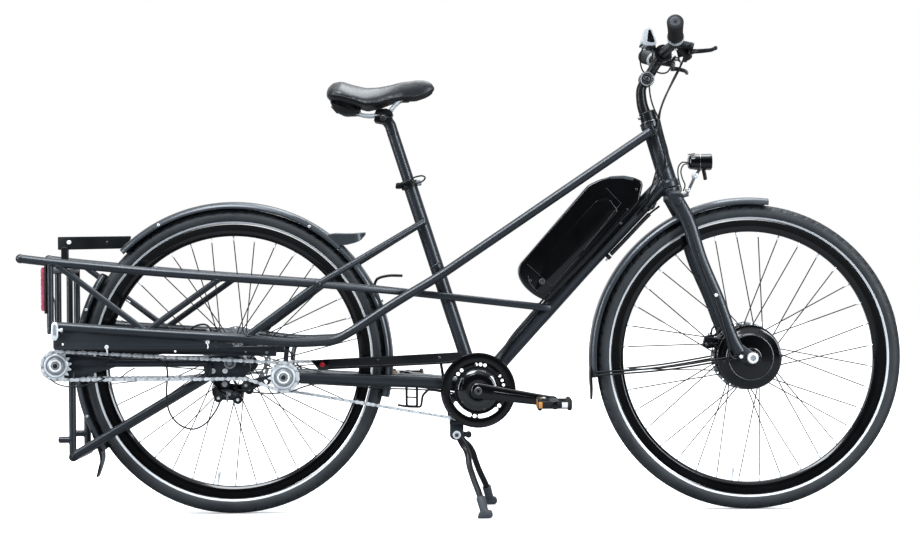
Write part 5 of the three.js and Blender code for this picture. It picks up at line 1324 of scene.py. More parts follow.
blade_path = smooth([(508, -167, 1043), (514, -171, 1042.6), (522, -177, 1042.2), (531, -187, 1041.4), (538, -197, 1041), (545, -213, 1040), (549, -230, 1040), (552, -248, 1040.6)], 44)
lever = [
    tube(blade_path, lambda t: (5.4 - 1.6 * t + 0.9 * math.exp(-((t - 0.98) / 0.05) ** 2), 4.3 - 0.7 * t + 0.6 * math.exp(-((t - 0.98) / 0.05) ** 2)), 28, ref=(0, 0, 1), power=2.6, cap=3.0),
    place(turn(soft([(0, -5.4), (6.0, -5.4), (6.0, 5.4), (0, 5.4)], 0.8, 3), (0, 0, 0), (0, 1, 0), 36), (508, -167, 1042), (0, 0, 1)),
    (bolt((508, -167, 1047.0), (0, 0, 1), 3.0, 1.6), STEEL),
]
make("brake_lever_right_fine", lever, SATIN, "lever_right", "brake_lever_right", angle=42)
make("brake_lever_left_fine", plain(lever), SATIN, "lever_left", "brake_lever_left", angle=42)

shell = fillet([(413, 1081), (420.6, 1111), (424, 1116.4), (431, 1117), (436.6, 1112.6), (446.4, 1084), (447, 1077.6), (440, 1073.4), (418, 1073.4)], 3, 4)
n_face = unit((0.925, 0, 0.38))
make("display_fine", [
    (plate(shell, -32, 32, (), 2.6), GREY),
    # the screen looks back at the rider
    (loft([[(p[0] - 0.2, y, p[1]) for p in ((415.2, 1084), (421.4, 1109.4))] + [(p[0] - 1.3, y, p[1] + 0.4) for p in ((421.4, 1109.4), (415.2, 1084))] for y in (-27, 27)]), SCREEN),
    (plate(fillet([(428.6, 1111.4), (434.2, 1108.8), (443.4, 1083.6), (439.6, 1080.6), (424.8, 1083.2)], 3, 3), -33.4, -31.4, (), 0.8), GLOSS),
    (plate(fillet([(428.6, 1111.4), (434.2, 1108.8), (443.4, 1083.6), (439.6, 1080.6), (424.8, 1083.2)], 3, 3), 31.4, 33.4, (), 0.8), GLOSS),
    (rbox(426, 446, -26, 26, 1069, 1075, 2.4, 3), MATTE),
    (tube(smooth([(436, 0, 1072), (444, 0, 1068), (453, 0, 1063)], 8), (13, 6), 28, power=2.8), MATTE),
    *[((rbox(411.2, 414.6, y - 4.5, y + 4.5, 1075.4, 1079.6, 1.0, 2)), MATTE) for y in (-15, 0, 15)],
], GREY, "steering", "display", angle=42)


# ---------------------------------------------------------------- headlight
def lamp_body():
    rings = []
    for x, a, b in ((519.6, 2, 1.5), (520.0, 12, 9), (521.2, 18, 12.6), (523.5, 21.4, 15.2), (528, 23.5, 16.6), (538, 26.0, 18.2), (552, 27.0, 18.6), (566, 27.8, 18.9), (571, 28.0, 19.0), (573.4, 27.6, 18.6), (574.0, 26.6, 17.8), (571.0, 25.2, 16.6), (566.0, 24.0, 15.6)):
        rings.append([(x, a * math.copysign(abs(math.cos(f)) ** (2 / 2.6), math.cos(f)), 806 + b * math.copysign(abs(math.sin(f)) ** (2 / 2.6), math.sin(f))) for f in np.linspace(0, 2 * math.pi, 56, endpoint=False)])
    return loft(rings)


def oval(x0, x1, a, b, n=56, p=2.6, e=0.8):
    rings = []
    for x, s in ((x0, e), (x0 + e * (1 if x1 > x0 else -1), 0), (x1 - e * (1 if x1 > x0 else -1), 0), (x1, e)):
        rings.append([(x, (a - s) * math.copysign(abs(math.cos(f)) ** (2 / p), math.cos(f)), 806 + (b - s) * math.copysign(abs(math.sin(f)) ** (2 / p), math.sin(f))) for f in np.linspace(0, 2 * math.pi, n, endpoint=False)])
    return loft(rings)


make("headlight_fine", [
    lamp_body(),
    (oval(572.6, 567, 27.4, 18.4), CHROME), (oval(573.6, 569.5, 24.6, 15.8), GLASS),
    (oval(545.5, 547.5, 27.2, 18.9), CHROME),
    # dark steel bracket to the crown, with a silver barrel
    (tube(smooth([(548, 0, 789), (543, 0, 782), (536, 0, 772), (529, 0, 757), (521.5, 0, 741), (517, 0, 730)], 24), (9.0, 3.2), 32, power=4.0), DARKSTEEL),
    (tube([(520, 0, 732), (503, 0, 727)], (8.5, 5.5), 28, power=3.0), DARKSTEEL),
    (place(turn(soft([(0, -9.6), (6.8, -9.6), (6.8, 9.6), (0, 9.6)], 1.0, 3), (0, 0, 0), (0, 1, 0), 40), (536, 0, 774), (0, 1, 0)), SILVER),
    (bolt((536, -9.6, 774), (0, -1, 0), 5.2, 2.6), SILVER), (bolt((519, -8.4, 741), (0, -1, 0), 4.6, 2.6), SILVER),
    (bolt((536, 9.6, 774), (0, 1, 0), 5.2, 2.6), STEEL), (bolt((519, 8.4, 741), (0, 1, 0), 4.6, 2.6), STEEL),
    (tube(smooth([(556, 0, 790), (559, 0, 776), (561, 0, 764)], 10), (5.4, 4.4), 28, cap=2.0, power=2.4), SATIN),
    *[((rbox(522 + 4 * i, 523.6 + 4 * i, -15, 15, 822.6 + 0.6 * i, 825.0 + 0.5 * i, 0.6, 2)), SATIN) for i in range(4)],
], GLOSS, "steering", "headlight", angle=42)


# ---------------------------------------------------------------- brake calipers
def caliper_parts(c, outline, y0, y1, up):
    o = fillet([(c[0] + p[0], c[1] + p[1]) for p in outline], 4, 4)
    small = inset(o, 3.4)
    mid = (y0 + y1) / 2
    parts = [plate(o, y0, mid - 1.6, (), 1.6), plate(o, mid + 1.6, y1, (), 1.6), plate(small, mid - 1.8, mid + 1.8, (), 0.3)]
    cx, cz = c
    parts += [(about((cx + 1, cz), soft([(0, y1 + 1.6), (8.4, y1 + 1.6), (9.2, y1), (0, y1)], 0.5, 2), 40), DARKSTEEL),
              (bolt((cx - 11, y1, cz - 7), (0, 1, 0), 3.4, 2.6), STEEL), (bolt((cx + 9, y1, cz + 8), (0, 1, 0), 3.4, 2.6), STEEL),
              (bolt((cx - 11, y0, cz - 7), (0, -1, 0), 3.4, 1.4), STEEL), (bolt((cx + 9, y0, cz + 8), (0, -1, 0), 3.4, 1.4), STEEL),
              (place(turn(soft([(0, 0), (3.6, 0), (3.6, 9), (0, 9)], 0.8, 2), (0, 0, 0), (0, 1, 0), 24), (cx - 2, mid, cz + 11), up), STEEL)]
    return parts


fc = [(-20, -12), (-8, -18), (14, -14), (18, 4), (6, 16), (-14, 12)]
make("front_brake_caliper", caliper_parts((577, 388), fc, 40.8, 59.8, unit((-0.3, 0, 1))) + [
    (tube([(579, 50, 396), (592, 53, 404), (598, 57, 420)], (5, 4), 20, power=2.6), SATIN),
], SATIN, "steering", "front_caliper", angle=40)
rc = [(-18, -12), (-4, -17), (15, -10), (16, 6), (4, 15), (-16, 10)]
make("rear_brake_caliper", caliper_parts((-601, 408), rc, 40.5, 59.0, unit((-0.5, 0, 0.86))) + [
    (tube([(-596, 54, 396), (-586, 62, 382), (-580, 70, 368)], (5, 4), 20, power=2.6), SATIN),
], SATIN, "swing", "rear_caliper", angle=40)


# ---------------------------------------------------------------- swing frame
sw_plate = fillet([(-950, 351), (-944, 367), (-929, 374), (-905, 377), (-860, 371.6), (-806, 366), (-804, 343), (-840, 334), (-880, 321.5), (-915, 321.5), (-944, 335)], 6, 5)
sw_drop = fillet([(-597, 366), (-560, 371), (-520, 371), (-494, 356), (-490, 338), (-508, 316), (-586, 314), (-597, 330)], 6, 5)
swing = [
    plate(sw_plate, -86, -76, [circle(PIVOT, 10, 40)], 1.6),
    tube([(-817, -80, 354.6), (-700, -80, 354.1), (-588, -80, 353.6)], 9, 40),
    plate(sw_drop, -77, -69, [], 1.3),
    plate(fillet([(-597, 362), (-597, 340), (-586, 318), (-578, 330), (-580, 362)], 4, 3), -86, -74, (), 1.2),
    tube([(-893, -80, 145), (-740, -80, 234.5), (-588, -80, 324)], 10, 40),
    tube([(-897, -80, 332), (-897, -80, 236), (-897, -80, 142)], 8.2, 36),
    tube([(-895, -80, 181), (-926, -80, 181)], 7.5, 32),
    (plug((-926, -80, 181), (-1, 0, 0), 7.5), MATTE),
    weld((-897, -80, 142), (0, 0, 1), 8.2, (-588, -80, 324), unit((-309, 0, -182)), 10, 1.6),
    weld((-897, -80, 142), (0, 0, 1), 8.2, (-926, -80, 181), (1, 0, 0), 7.5, 1.4),
    turn(soft([(9.2, 0), (10.4, 0), (10.4, 5), (9.2, 5)], 0.3, 2, True), (-806, -80, 354.6), (1, 0, 0), 40, True),
]
swing_bits = [
    # adjusting screws at the dropout, axle washer and cap nut
    (bolt((-577, -77, 334.5), (0, -1, 0), 6.0, 3.0), WHITE), (bolt((-549, -77, 334.5), (0, -1, 0), 6.0, 3.0), WHITE),
    (bolt((-577, -77, 358), (0, -1, 0), 3.6, 2.2), DARKSTEEL), (bolt((-505, -77, 350), (0, -1, 0), 3.6, 2.2), DARKSTEEL),
]
axle = [
    (about(REAR, [(0, -92), (5.2, -92), (6, -91), (6, 91), (5.2, 92), (0, 92)], 32), STEEL),
    (about(REAR, soft([(6, -77), (13.6, -77), (13.6, -79.2), (6, -79.2)], 0.4, 2, True), 48, True), STEEL),
    (nut((REAR[0], -79, REAR[1]), (0, -1, 0), 10.8, 8.5), DARKSTEEL), (nut((REAR[0], 79, REAR[1]), (0, 1, 0), 10.8, 8.5), DARKSTEEL),
    (about(REAR, soft([(6, 77), (13.6, 77), (13.6, 79.2), (6, 79.2)], 0.4, 2, True), 48, True), STEEL),
]
make("swing_frame_fine", [
    *swing, *plain(swing), *swing_bits, *plain(swing_bits), *axle,
    tube([(-895, -86, 142), (-895, 0, 142), (-895, 86, 142)], 10.3, 40, ref=(0, 0, 1)),
    (plug((-895, -86, 142), (0, -1, 0), 10.3), MATTE), (plug((-895, 86, 142), (0, 1, 0), 10.3), MATTE),
    (about(PIVOT, soft([(12, 67.8), (16, 67.8), (16, 75.8), (12, 75.8)], 0.6, 2, True), 48, True), STEEL),
], PAINT, "swing", "swing_frame", angle=40)

make("derailleur_fine", [
    plate(fillet([(-581, 300), (-574, 312.6), (-552, 312.6), (-545, 306), (-512, 300), (-510, 272), (-530, 266), (-572, 268), (-581, 280)], 5, 4), -66, -55.5, [], 1.6),
    (plate(fillet([(-560, 296), (-560, 313), (-540, 313), (-540, 296)], 4, 4), -76.5, -60, (), 1.4), SATIN),
    (plate(fillet([(-530, 300), (-505, 306.8), (-486, 303), (-484, 294), (-500, 288), (-530, 280)], 4, 4), -66, -61, (), 1.2), SATIN),
    (plate(fillet([(-576, 298), (-562, 307), (-520, 298), (-517, 276), (-532, 270), (-568, 272)], 4, 4), -68.4, -65.4, (), 1.2), GLOSS),
    (about((-550, 304.5), soft([(0, -79), (6.4, -79), (6.4, -76), (0, -76)], 0.6, 2), 32), STEEL),
    (about((-498, 297), soft([(0, -68.4), (5.4, -68.4), (5.4, -65.8), (0, -65.8)], 0.6, 2), 32), STEEL),
    (about((-527, 283), soft([(0, -70), (5.0, -70), (5.0, -67.6), (0, -67.6)], 0.6, 2), 32), DARKSTEEL),
    (tube([(-571, -61, 304), (-582, -61, 312)], 2.8, 16, cap=1), STEEL),
    (plate(fillet([(-566, 290), (-548, 294), (-532, 290), (-534, 284), (-550, 287), (-564, 284)], 2.6, 3), -70.2, -68.2, (), 0.6), DARKSTEEL),
    # linkage arms, adjusting screws, guide wheels and the spring
    (tube([(-574, -70, 300), (-560, -71, 286), (-548, -71, 274)], (4.2, 3.4), 20, power=3, cap=2), GLOSS),
    (tube([(-528, -70, 298), (-520, -71, 286), (-514, -71, 274)], (4.0, 3.2), 20, power=3, cap=2), GLOSS),
    *[(about(c0, soft([(3, -66.8), (9.6, -66.8), (10.4, -65.6), (10.4, -62.8), (9.6, -61.6), (3, -61.6)], 0.3, 2, True), 44, True), MATTE) for c0 in ((-566, 272), (-522, 268), (-496, 290))],
    *[(about(c0, soft([(0, -69.4), (3.6, -69.4), (3.6, -66), (0, -66)], 0.4, 2), 24), SILVER) for c0 in ((-566, 272), (-522, 268), (-577, 299), (-541, 281))],
    (tube([(-545 + 2.2 * math.cos(k * 0.9), -72 + 2.2 * math.sin(k * 0.9), 262 + k * 0.42) for k in range(60)], 0.8, 6, ref=None), STEEL),
], SATIN, "swing", "derailleur", angle=40)


# ---------------------------------------------------------------- crank set
TIP_R, TIP_L = (196.26, 259.75), (-140.26, 308.25)


def crank_arm(tip, y0, y1, boss):
    """y0, y1: outward distances of the arm's middle at the axle and at the tip; boss: the inner face of its axle boss."""
    a, b = A((BB[0], -y0, BB[1])), A((tip[0], -y1, tip[1]))
    d = unit(b - a)
    pts = [a - d * 17, a - d * 15.8, a - d * 12.5, a - d * 7] + [a + (b - a) * f for f in np.linspace(0, 1, 22)] + [b + d * 5, b + d * 8.6, b + d * 11, b + d * 12]
    rad = [(3.0, 5.0), (5.0, 10.6), (6.3, 15.6), (6.5, 17.8)]
    for f in np.linspace(0, 1, 22):
        w = 18.2 - 2.6 * f / 0.35 if f < 0.35 else 15.6 - 3.6 * (f - 0.35) / 0.65
        rad.append((6.5 - 0.8 * f, w + (1.0 * max(0, (f - 0.9) / 0.1))))
    rad += [(5.7, 12.2), (5.4, 10.2), (4.2, 6.4), (2.6, 2.4)]
    arm = tube(pts, rad, 48, power=2.7)
    along = unit((BB[0] - tip[0], BB[1] - tip[1]))
    groove_a, groove_b = a * 0.80 + b * 0.20, a * 0.24 + b * 0.76
    out = A((0, -1, 0))
    parts = [
        arm,
        about(BB, soft([(0, -y0 - 3), (13.6, -y0 - 3), (15.4, -y0), (15.2, -boss), (0, -boss)], 1.2, 3), 64),
        (about(BB, soft([(0, -y0 - 8.2), (8.0, -y0 - 8.2), (9.4, -y0 - 6.8), (9.6, -y0 - 2), (0, -y0 - 2)], 0.6, 3), 48), DARKSTEEL),
        (about(BB, soft([(0, -y0 - 8.8), (3.6, -y0 - 8.8), (3.6, -y0 - 7.6), (0, -y0 - 7.6)], 0.2, 2), 6), SATIN),
        about(tip, soft([(5.3, -y1 - 6.5), (12.4, -y1 - 6.5), (12.4, -y1 + 6.5), (5.3, -y1 + 6.5)], 1.0, 3, True), 56, True),
        (tube([groove_a + out * 5.6, groove_b + out * 5.2], (1.4, 4.6), 20, power=3.0, cap=2.0), GLOSS),
    ]
    return parts


make("crank_arm_right_forged", crank_arm(TIP_R, 78, 96, 60.5), GLOSS, "crank", "crank_arm_right", angle=40)
make("crank_arm_left_forged", plain(crank_arm(TIP_L, 68, 92, 50)) + [
    (about(BB, soft([(0, -64), (9.6, -64), (9.6, 56), (0, 56)], 0.8, 2), 48), STEEL)], GLOSS, "crank", "crank_arm_left", angle=40)


def slot_at(a, b, r, w, n=6):
    """A kidney opening on the guard disc from angle a to b."""
    out = [polar(BB, r + w, a + (b - a) * i / 14) for i in range(15)]
    m = polar(BB, r, b)
    out += [polar(m, w, b + 180 * (i + 1) / (n + 1)) for i in range(n)]
    out += [polar(BB, r - w, b + (a - b) * i / 14) for i in range(15)]
    m = polar(BB, r, a)
    out += [polar(m, w, a - 180 + 180 * (i + 1) / (n + 1)) for i in range(n)]
    return out


def chainwheel():
    # the disc: a broad outer ring, a narrow inner ring, and a perforated band between them
    guard = about(BB, soft([(65.2, -58.4), (86, -58.4), (86, -55.2), (65.2, -55.2)], 0.7, 3, True), 180, True)
    guard_in = about(BB, soft([(47, -58.4), (53.6, -58.4), (53.6, -55.2), (47, -55.2)], 0.7, 3, True), 160, True)
    band = []
    for a, b, hole in ((6.5, 16.7, (11.5, 3.4)), (16.7, 28, (22, 3.4)), (28, 38.5, (33.4, 3.4)), (38.5, 69.5, None), (69.5, 79.3, (74.4, 4.0)), (79.3, 89.5, (84.4, 4.2)), (89.5, 99, (94.4, 4.0)), (99, 123.6, None),
                       (123.6, 134.6, (129, 4.2)), (134.6, 146, (140.4, 4.4)), (146, 189, (152, 184, 4.6)), (189, 204.5, None), (204.5, 255.8, (210, 250, 4.8)), (255.8, 267.2, (261.5, 4.4)),
                       (267.2, 318.1, (273, 313, 4.8)), (318.1, 329, (323.5, 4.4)), (329, 366.5, None)):
        k = max(4, int((b - a) / 2))
        o_ = [polar(BB, 66.5, a + (b - a) * i / k) for i in range(k + 1)] + [polar(BB, 52.5, b + (a - b) * i / k) for i in range(k + 1)]
        cut = [] if hole is None else [circle(polar(BB, 59.4, hole[0]), hole[1], 22)] if len(hole) == 2 else [slot_at(hole[0], hole[1], 59.4, hole[2])]
        band.append(plate(o_, -58.3, -55.3, cut, 0.25))
    rim_bead = about(BB, soft([(82.6, -59.4), (86.2, -59.4), (86.2, -54.6), (82.6, -54.6)], 0.9, 3, True), 180, True)
    inner_lip = about(BB, soft([(50, -59.0), (54, -59.0), (54, -57), (50, -57)], 0.5, 2, True), 140, True)
    dome = about(BB, soft([(17.6, -70.0), (30, -69.6), (36, -68.4), (42, -66.2), (46.4, -63.8), (48.6, -60.6), (49.2, -57.0), (17.6, -57.0)], 1.0, 3, True), 120, True)
    groove = about(BB, soft([(37.4, -68.6), (39.4, -67.8), (39.6, -66.4), (37.4, -66.8)], 0.3, 2, True), 110, True)
    wheel = teeth(BB, 36, CHR, -50.25, 2.0, seat_phase(front_pts, BB, 36, CHR), [circle(BB, 66.4, 140)])
    arms = [plate(fillet([polar(polar(BB, 44, a), 9, a + 90), polar(polar(BB, 68.5, a), 3.2, a + 90), polar(polar(BB, 68.5, a), 3.2, a - 90), polar(polar(BB, 44, a), 9, a - 90)], 2, 3), -55.6, -49.4, (), 0.6) for a in (-19, 54, 111, 197)]
    bolts_ = [(bolt((*polar(BB, 44.5, a)[:1], -65.2, polar(BB, 44.5, a)[1]), unit((0.35 * math.cos(math.radians(a)), -1, 0.35 * math.sin(math.radians(a)))), 3.2, 1.2), DARKSTEEL) for a in (0, 72, 144, 216, 288)]
    return make("chainring_with_guard", [guard, guard_in, *band, rim_bead, inner_lip, (dome, PIANO), (groove, PIANO), (wheel, DARKSTEEL), *[(p, SATIN) for p in arms], *bolts_,
        (about(BB, soft([(16.2, -60), (22, -60), (22, -48), (16.2, -48)], 0.6, 2, True), 64, True), SATIN)], GLOSS, "crank", "chainring", angle=36)


chainwheel()


def pedal(name, tip, body, node):
    """A resin platform pedal: a frame with tread pads, end reflectors, and its threaded axle. Right side; the left is mirrored."""
    x, z = tip
    y0, y1 = -204, -110
    frame_out = fillet([(x - 38, y0 + 6), (x - 26, y0), (x + 26, y0), (x + 38, y0 + 6), (x + 38, y1 - 6), (x + 28, y1), (x - 28, y1), (x - 38, y1 - 6)], 5, 4)
    windows = [fillet([(x - 28, y0 + 12), (x - 10, y0 + 12), (x - 10, y1 - 12), (x - 28, y1 - 12)], 4, 4), fillet([(x + 10, y0 + 12), (x + 28, y0 + 12), (x + 28, y1 - 12), (x + 10, y1 - 12)], 4, 4)]
    flat = [[1, 0, 0, 0], [0, 0, 1, 0], [0, 1, 0, 0], [0, 0, 0, 1]]
    body_ = move(plate(frame_out, z - 8.5, z + 8.5, windows, 1.6), flat)
    parts = [body_]
    # tread bars front and back, with studs
    for s in (-1, 1):
        parts.append(rbox(x + s * 33 - 4.4, x + s * 33 + 4.4, y0 + 8, y1 - 8, z - 12.2, z + 12.2, 2.2, 3))
        for k in range(8):
            yy = y0 + 14 + k * (y1 - y0 - 28) / 7
            for q in (-1, 1):
                parts.append((rbox(x + s * 33 - 3.4, x + s * 33 + 3.4, yy - 2.4, yy + 2.4, z + q * 12.2 - 1.0, z + q * 12.2 + 1.0, 0.6, 2), RUBBER))
    parts.append((tube([(x, y1 + 1, z), (x, y0 + 2, z)], (10.2, 10.2), 40, ref=(0, 0, 1)), MATTE))
    parts.append((about(tip, soft([(0, y0 - 2.6), (8.2, y0 - 2.6), (9.4, y0 - 1), (9.4, y0 + 5), (0, y0 + 5)], 0.6, 3), 40), GLOSS))
    for s, m in ((-1, AMBER), (1, CLEARW)) if tip == TIP_R else ((-1, CLEARW), (1, AMBER)):
        parts.append((rbox(x + s * 37.6 - 1.6, x + s * 37.6 + 1.4, y0 + 16, y1 - 16, z - 9.0, z + 9.0, 1.0, 2), m))
        parts.append((rbox(x + s * 36.4 - 1.8, x + s * 36.4 + 1.6, y0 + 13, y1 - 13, z - 11, z + 11, 1.2, 2), MATTE))
    # amber and white side reflectors seen on the end face
    parts.append((rbox(x - 36.5, x - 28, y0 - 0.6, y0 + 9, z - 7, z + 7, 1.0, 2), AMBER))
    parts.append((rbox(x + 15, x + 28, y0 - 0.6, y0 + 3, z - 6, z + 6, 1.0, 2), CLEARW))
    parts.append((rbox(x - 36, x - 25, y1 - 4, y1 + 0.6, z + 1, z + 11.4, 1.0, 2), AMBER))
    parts.append((rbox(x - 24, x - 17, y1 - 4, y1 + 0.6, z + 1, z + 11.4, 1.0, 2), CLEARW))
    parts.append((about(tip, soft([(0, -111), (7.4, -111), (7.4, -106), (5.2, -105.4), (5.2, -88.5), (0, -88.5)], 0.3, 2), 36), STEEL))
    parts.append((about(tip, soft([(5, -108.6), (9.2, -108.6), (9.2, -105.2), (5, -105.2)], 0.4, 2, True), 6, True), STEEL))
    if body == "pedal_left":
        parts = plain(parts)
    return make(name, parts, MATTE, body, node, angle=40)


pedal("pedal_right_fine", TIP_R, "pedal_right", "pedal_right")
pedal("pedal_left_fine", TIP_L, "pedal_left", "pedal_left")


# ---------------------------------------------------------------- centre stand
leg_r = smooth([(-20, -26, 181), (-18, -29, 176), (-10, -31, 160), (-1, -38, 146), (4, -52, 131), (6, -62, 114), (14, -74, 88), (30, -98, 46), (38, -113, 18)], 60)
leg_l = smooth([(-20, 26, 181), (-18, 29, 176), (-6, 31, 160), (6, 36, 148), (16, 50, 129), (21, 60, 112), (30, 74, 86), (46, 98, 48), (54, 113, 18)], 60)


def stand_foot(x, y):
    o = fillet([(x - 19, 0), (x + 10, 0), (x + 17, 6), (x + 14, 17), (x - 6, 20), (x - 15, 12)], 4.5, 4)
    parts = [plate(o, y - 11, y + 11, (), 2.6)]
    parts += [rbox(x - 14 + 6 * i, x - 11 + 6 * i, y - 9, y + 9, 0, 1.6, 0.5, 2) for i in range(4)]
    return parts


make("centre_stand_fine", [
    tube([(STAND[0], -37.2, STAND[1]), (STAND[0], 0, STAND[1]), (STAND[0], 37.2, STAND[1])], 7.6, 40, ref=(0, 0, 1)),
    tube(leg_r, 7.2, 32, ref=(1, 0, 0)), tube(leg_l, 7.2, 32, ref=(1, 0, 0)),
    *[(p, FOOT) for p in stand_foot(42, -119)], *[(p, FOOT) for p in stand_foot(57, 119)],
    *[(turn(soft([(7, 0), (9.2, 0), (9.2, 12), (7, 12)], 0.8, 2, True), leg[-9], leg[-1] - leg[-9], 40, True), MATTE) for leg in (leg_r, leg_l)],
    *[(turn(soft([(5, 0), (10.4, 0), (9.6, 34), (7.4, 37), (5, 37)], 1.0, 3, True), leg[-1] - unit(leg[-1] - leg[-8]) * 30, unit(leg[-1] - leg[-8]), 44, True), FOOT) for leg in (leg_r, leg_l)],
    # return spring seats
    (about(STAND, soft([(7.6, -30), (11, -30), (11, -20), (7.6, -20)], 0.8, 2, True), 40, True), DARKSTEEL),
    (about(STAND, soft([(7.6, 20), (11, 20), (11, 30), (7.6, 30)], 0.8, 2, True), 40, True), DARKSTEEL),
], SATIN, "stand", "kickstand", angle=42)


# ---------------------------------------------------------------- seatpost and saddle
post_head = smooth([tuple(on_seat(-117)), tuple(on_seat(-126)), tuple(on_seat(-138)), (-176, 0, 906), (-181, 0, 915)], 18)
seat_parts = [
    tube([tuple(on_seat(190)), tuple(on_seat(60)), tuple(on_seat(-118))], 13.6, 56),
    (turn([(13.2, -118.6), (13.9, -118.2), (13.9, -115.5), (13.2, -115.1)], on_seat(0), seat_dir, 56, True), GLOSS),
    tube(post_head, (14.2, 13.6), 44, power=2.4),
    (plate(fillet([(-208, 905), (-184, 900), (-166, 903), (-163, 915), (-205, 917)], 4, 4), -28, 28, (), 2.0), SATIN),
    (plate(fillet([(-207, 921), (-163, 919), (-165, 929), (-178, 935), (-201, 933)], 4, 4), -28, 28, (), 2.0), SATIN),
    (turn(soft([(0, -33), (5.2, -33), (5.2, 33), (0, 33)], 0.8, 2), (-186, 0, 914), (0, 1, 0), 32), STEEL),
    (nut((-186, -31.5, 912), (0, -1, 0), 5.4, 4.0), DARKSTEEL), (nut((-186, 31.5, 912), (0, 1, 0), 5.4, 4.0), DARKSTEEL),
    *[(about((-186, 914), soft([(4, y), (8.5, y), (8.5, y + 3.4), (4, y + 3.4)], 0.6, 2, True), 48, True), DARKSTEEL) for y in (-31.4, 28)],
]
make("seatpost_fine", seat_parts, PAINT, "seat", "seatpost", angle=42)

ST = [(-316.5, 30, 970, 962, 2), (-315, 46, 979, 959.5, 4), (-311, 64, 987, 957, 9), (-300, 80, 996.5, 954, 15), (-280, 88, 1000, 950.5, 19), (-255, 88.4, 992, 943.5, 23), (-225, 77, 985, 934.5, 23), (-196, 57, 986.5, 938.5, 21), (-168, 39, 992.5, 948, 17), (-140, 28, 1000.4, 953.5, 14), (-110, 22.5, 1003.6, 954.5, 12), (-88, 18.5, 1001.6, 961.5, 11), (-75, 13.5, 996, 969, 8), (-69.5, 9, 990, 974.6, 5), (-67.2, 4.5, 985, 978.4, 2.4)]


def at_station(x):
    xs = [s[0] for s in ST]
    return [float(np.interp(x, xs, [s[k] for s in ST])) for k in range(1, 5)]


def saddle_rings(xs, base=False, grow=0.0):
    rings = []
    for x in xs:
        w, zt, zb, drop = at_station(x)
        w += grow
        ringp = []
        n = 36
        for i in range(n):
            f = 2 * math.pi * i / n
            cx, sz = math.cos(f), math.sin(f)
            y = w * math.copysign(abs(cx) ** 0.72, cx)
            crown = drop * (abs(y) / max(w, 1e-6)) ** 2.2
            if sz >= 0:
                z = (zt - crown) - (1 - sz ** 0.62) * (zt - crown - (zb + 7)) * 1.0
                # shallow channel down the middle
                groove_ = 3.4 * math.exp(-(y / 7.5) ** 2) * np.clip((-95 - x) / 30, 0, 1) * np.clip((x + 300) / 30, 0, 1)
                z -= groove_ * sz
            else:
                z = zb + 7 - 7 * abs(sz) ** 0.8
            ringp.append((x, y, z))
        rings.append(ringp)
    return rings


def saddle():
    xs = np.unique(np.concatenate([np.linspace(-316.5, -300, 7), np.linspace(-300, -85, 40), np.linspace(-85, -67.2, 8)]))
    cover_ = make("saddle_padded_cover", [loft(saddle_rings(xs))], SADDLE, "seat", (), angle=60)
    return cover_


cover_obj = saddle()


def pad_sim(o):
    """The cover is blown up a little as a foam-filled skin, then frozen."""
    scene = bpy.context.scene
    before = A([v.co[:] for v in o.data.vertices])
    world = o.matrix_world.copy()
    rm = o.modifiers.new("remesh", "REMESH")
    rm.mode = "VOXEL"
    rm.voxel_size = 0.0048
    rm.use_smooth_shade = True
    dg = bpy.context.evaluated_depsgraph_get()
    me = bpy.data.meshes.new_from_object(o.evaluated_get(dg))
    o.modifiers.clear()
    mats = list(o.data.materials)
    o.data = me
    me.materials.clear()
    for m in mats:
        me.materials.append(m)
    start = A([v.co[:] for v in me.vertices])
    lo = start[:, 2]
    g = o.vertex_groups.new(name="held")
    for i, v in enumerate(me.vertices):
        w, zt, zb, drop = at_station(v.co.x * 1000)
        h = v.co.z * 1000
        hold = 1.0 if h < zb + 9 else max(0.0, 1 - (h - zb - 9) / 10)
        groove_ = math.exp(-(v.co.y * 1000 / 8.0) ** 2) * 0.9 if -300 < v.co.x * 1000 < -95 else 0
        g.add([i], min(max(hold, groove_), 1.0), "REPLACE")
    cl = o.modifiers.new("cloth", "CLOTH")
    cl.settings.quality = 6
    cl.settings.mass = 0.3
    cl.settings.use_pressure = True
    cl.settings.uniform_pressure_force = 4
    cl.settings.tension_stiffness = 18
    cl.settings.compression_stiffness = 18
    cl.settings.bending_stiffness = 4
    cl.settings.vertex_group_mass = "held"
    cl.settings.pin_stiffness = 6
    cl.settings.effector_weights.gravity = 0
    cl.point_cache.frame_start, cl.point_cache.frame_end = 1, 20
    old = scene.frame_current
    for f in range(1, 21):
        scene.frame_set(f)
    dg = bpy.context.evaluated_depsgraph_get()
    ev = o.evaluated_get(dg)
    end = A([v.co[:] for v in ev.data.vertices])
    o.modifiers.clear()
    scene.frame_set(old)
    if len(end) == len(start) and np.isfinite(end).all():
        d = end - start
        length = np.linalg.norm(d, axis=1, keepdims=True)
        d *= np.minimum(1.0, 0.0035 / np.maximum(length, 1e-9))
        start = start + d
    me.vertices.foreach_set("co", start.ravel())
    me.polygons.foreach_set("use_smooth", np.ones(len(me.polygons), bool))
    me.update()
    sub = o.modifiers.new("subdivision", "SUBSURF")
    sub.levels = sub.render_levels = 1
    return o


cover_obj = pad_sim(cover_obj)
bpy.context.view_layer.update()


def piping(y_share, dz, r, x0, x1, n=80, out=0.6):
    pts = []
    for x in np.linspace(x0, x1, n):
        w, zt, zb, drop = at_station(x)
        pts.append((x, (w + out) * y_share, zb + dz))
    return pts


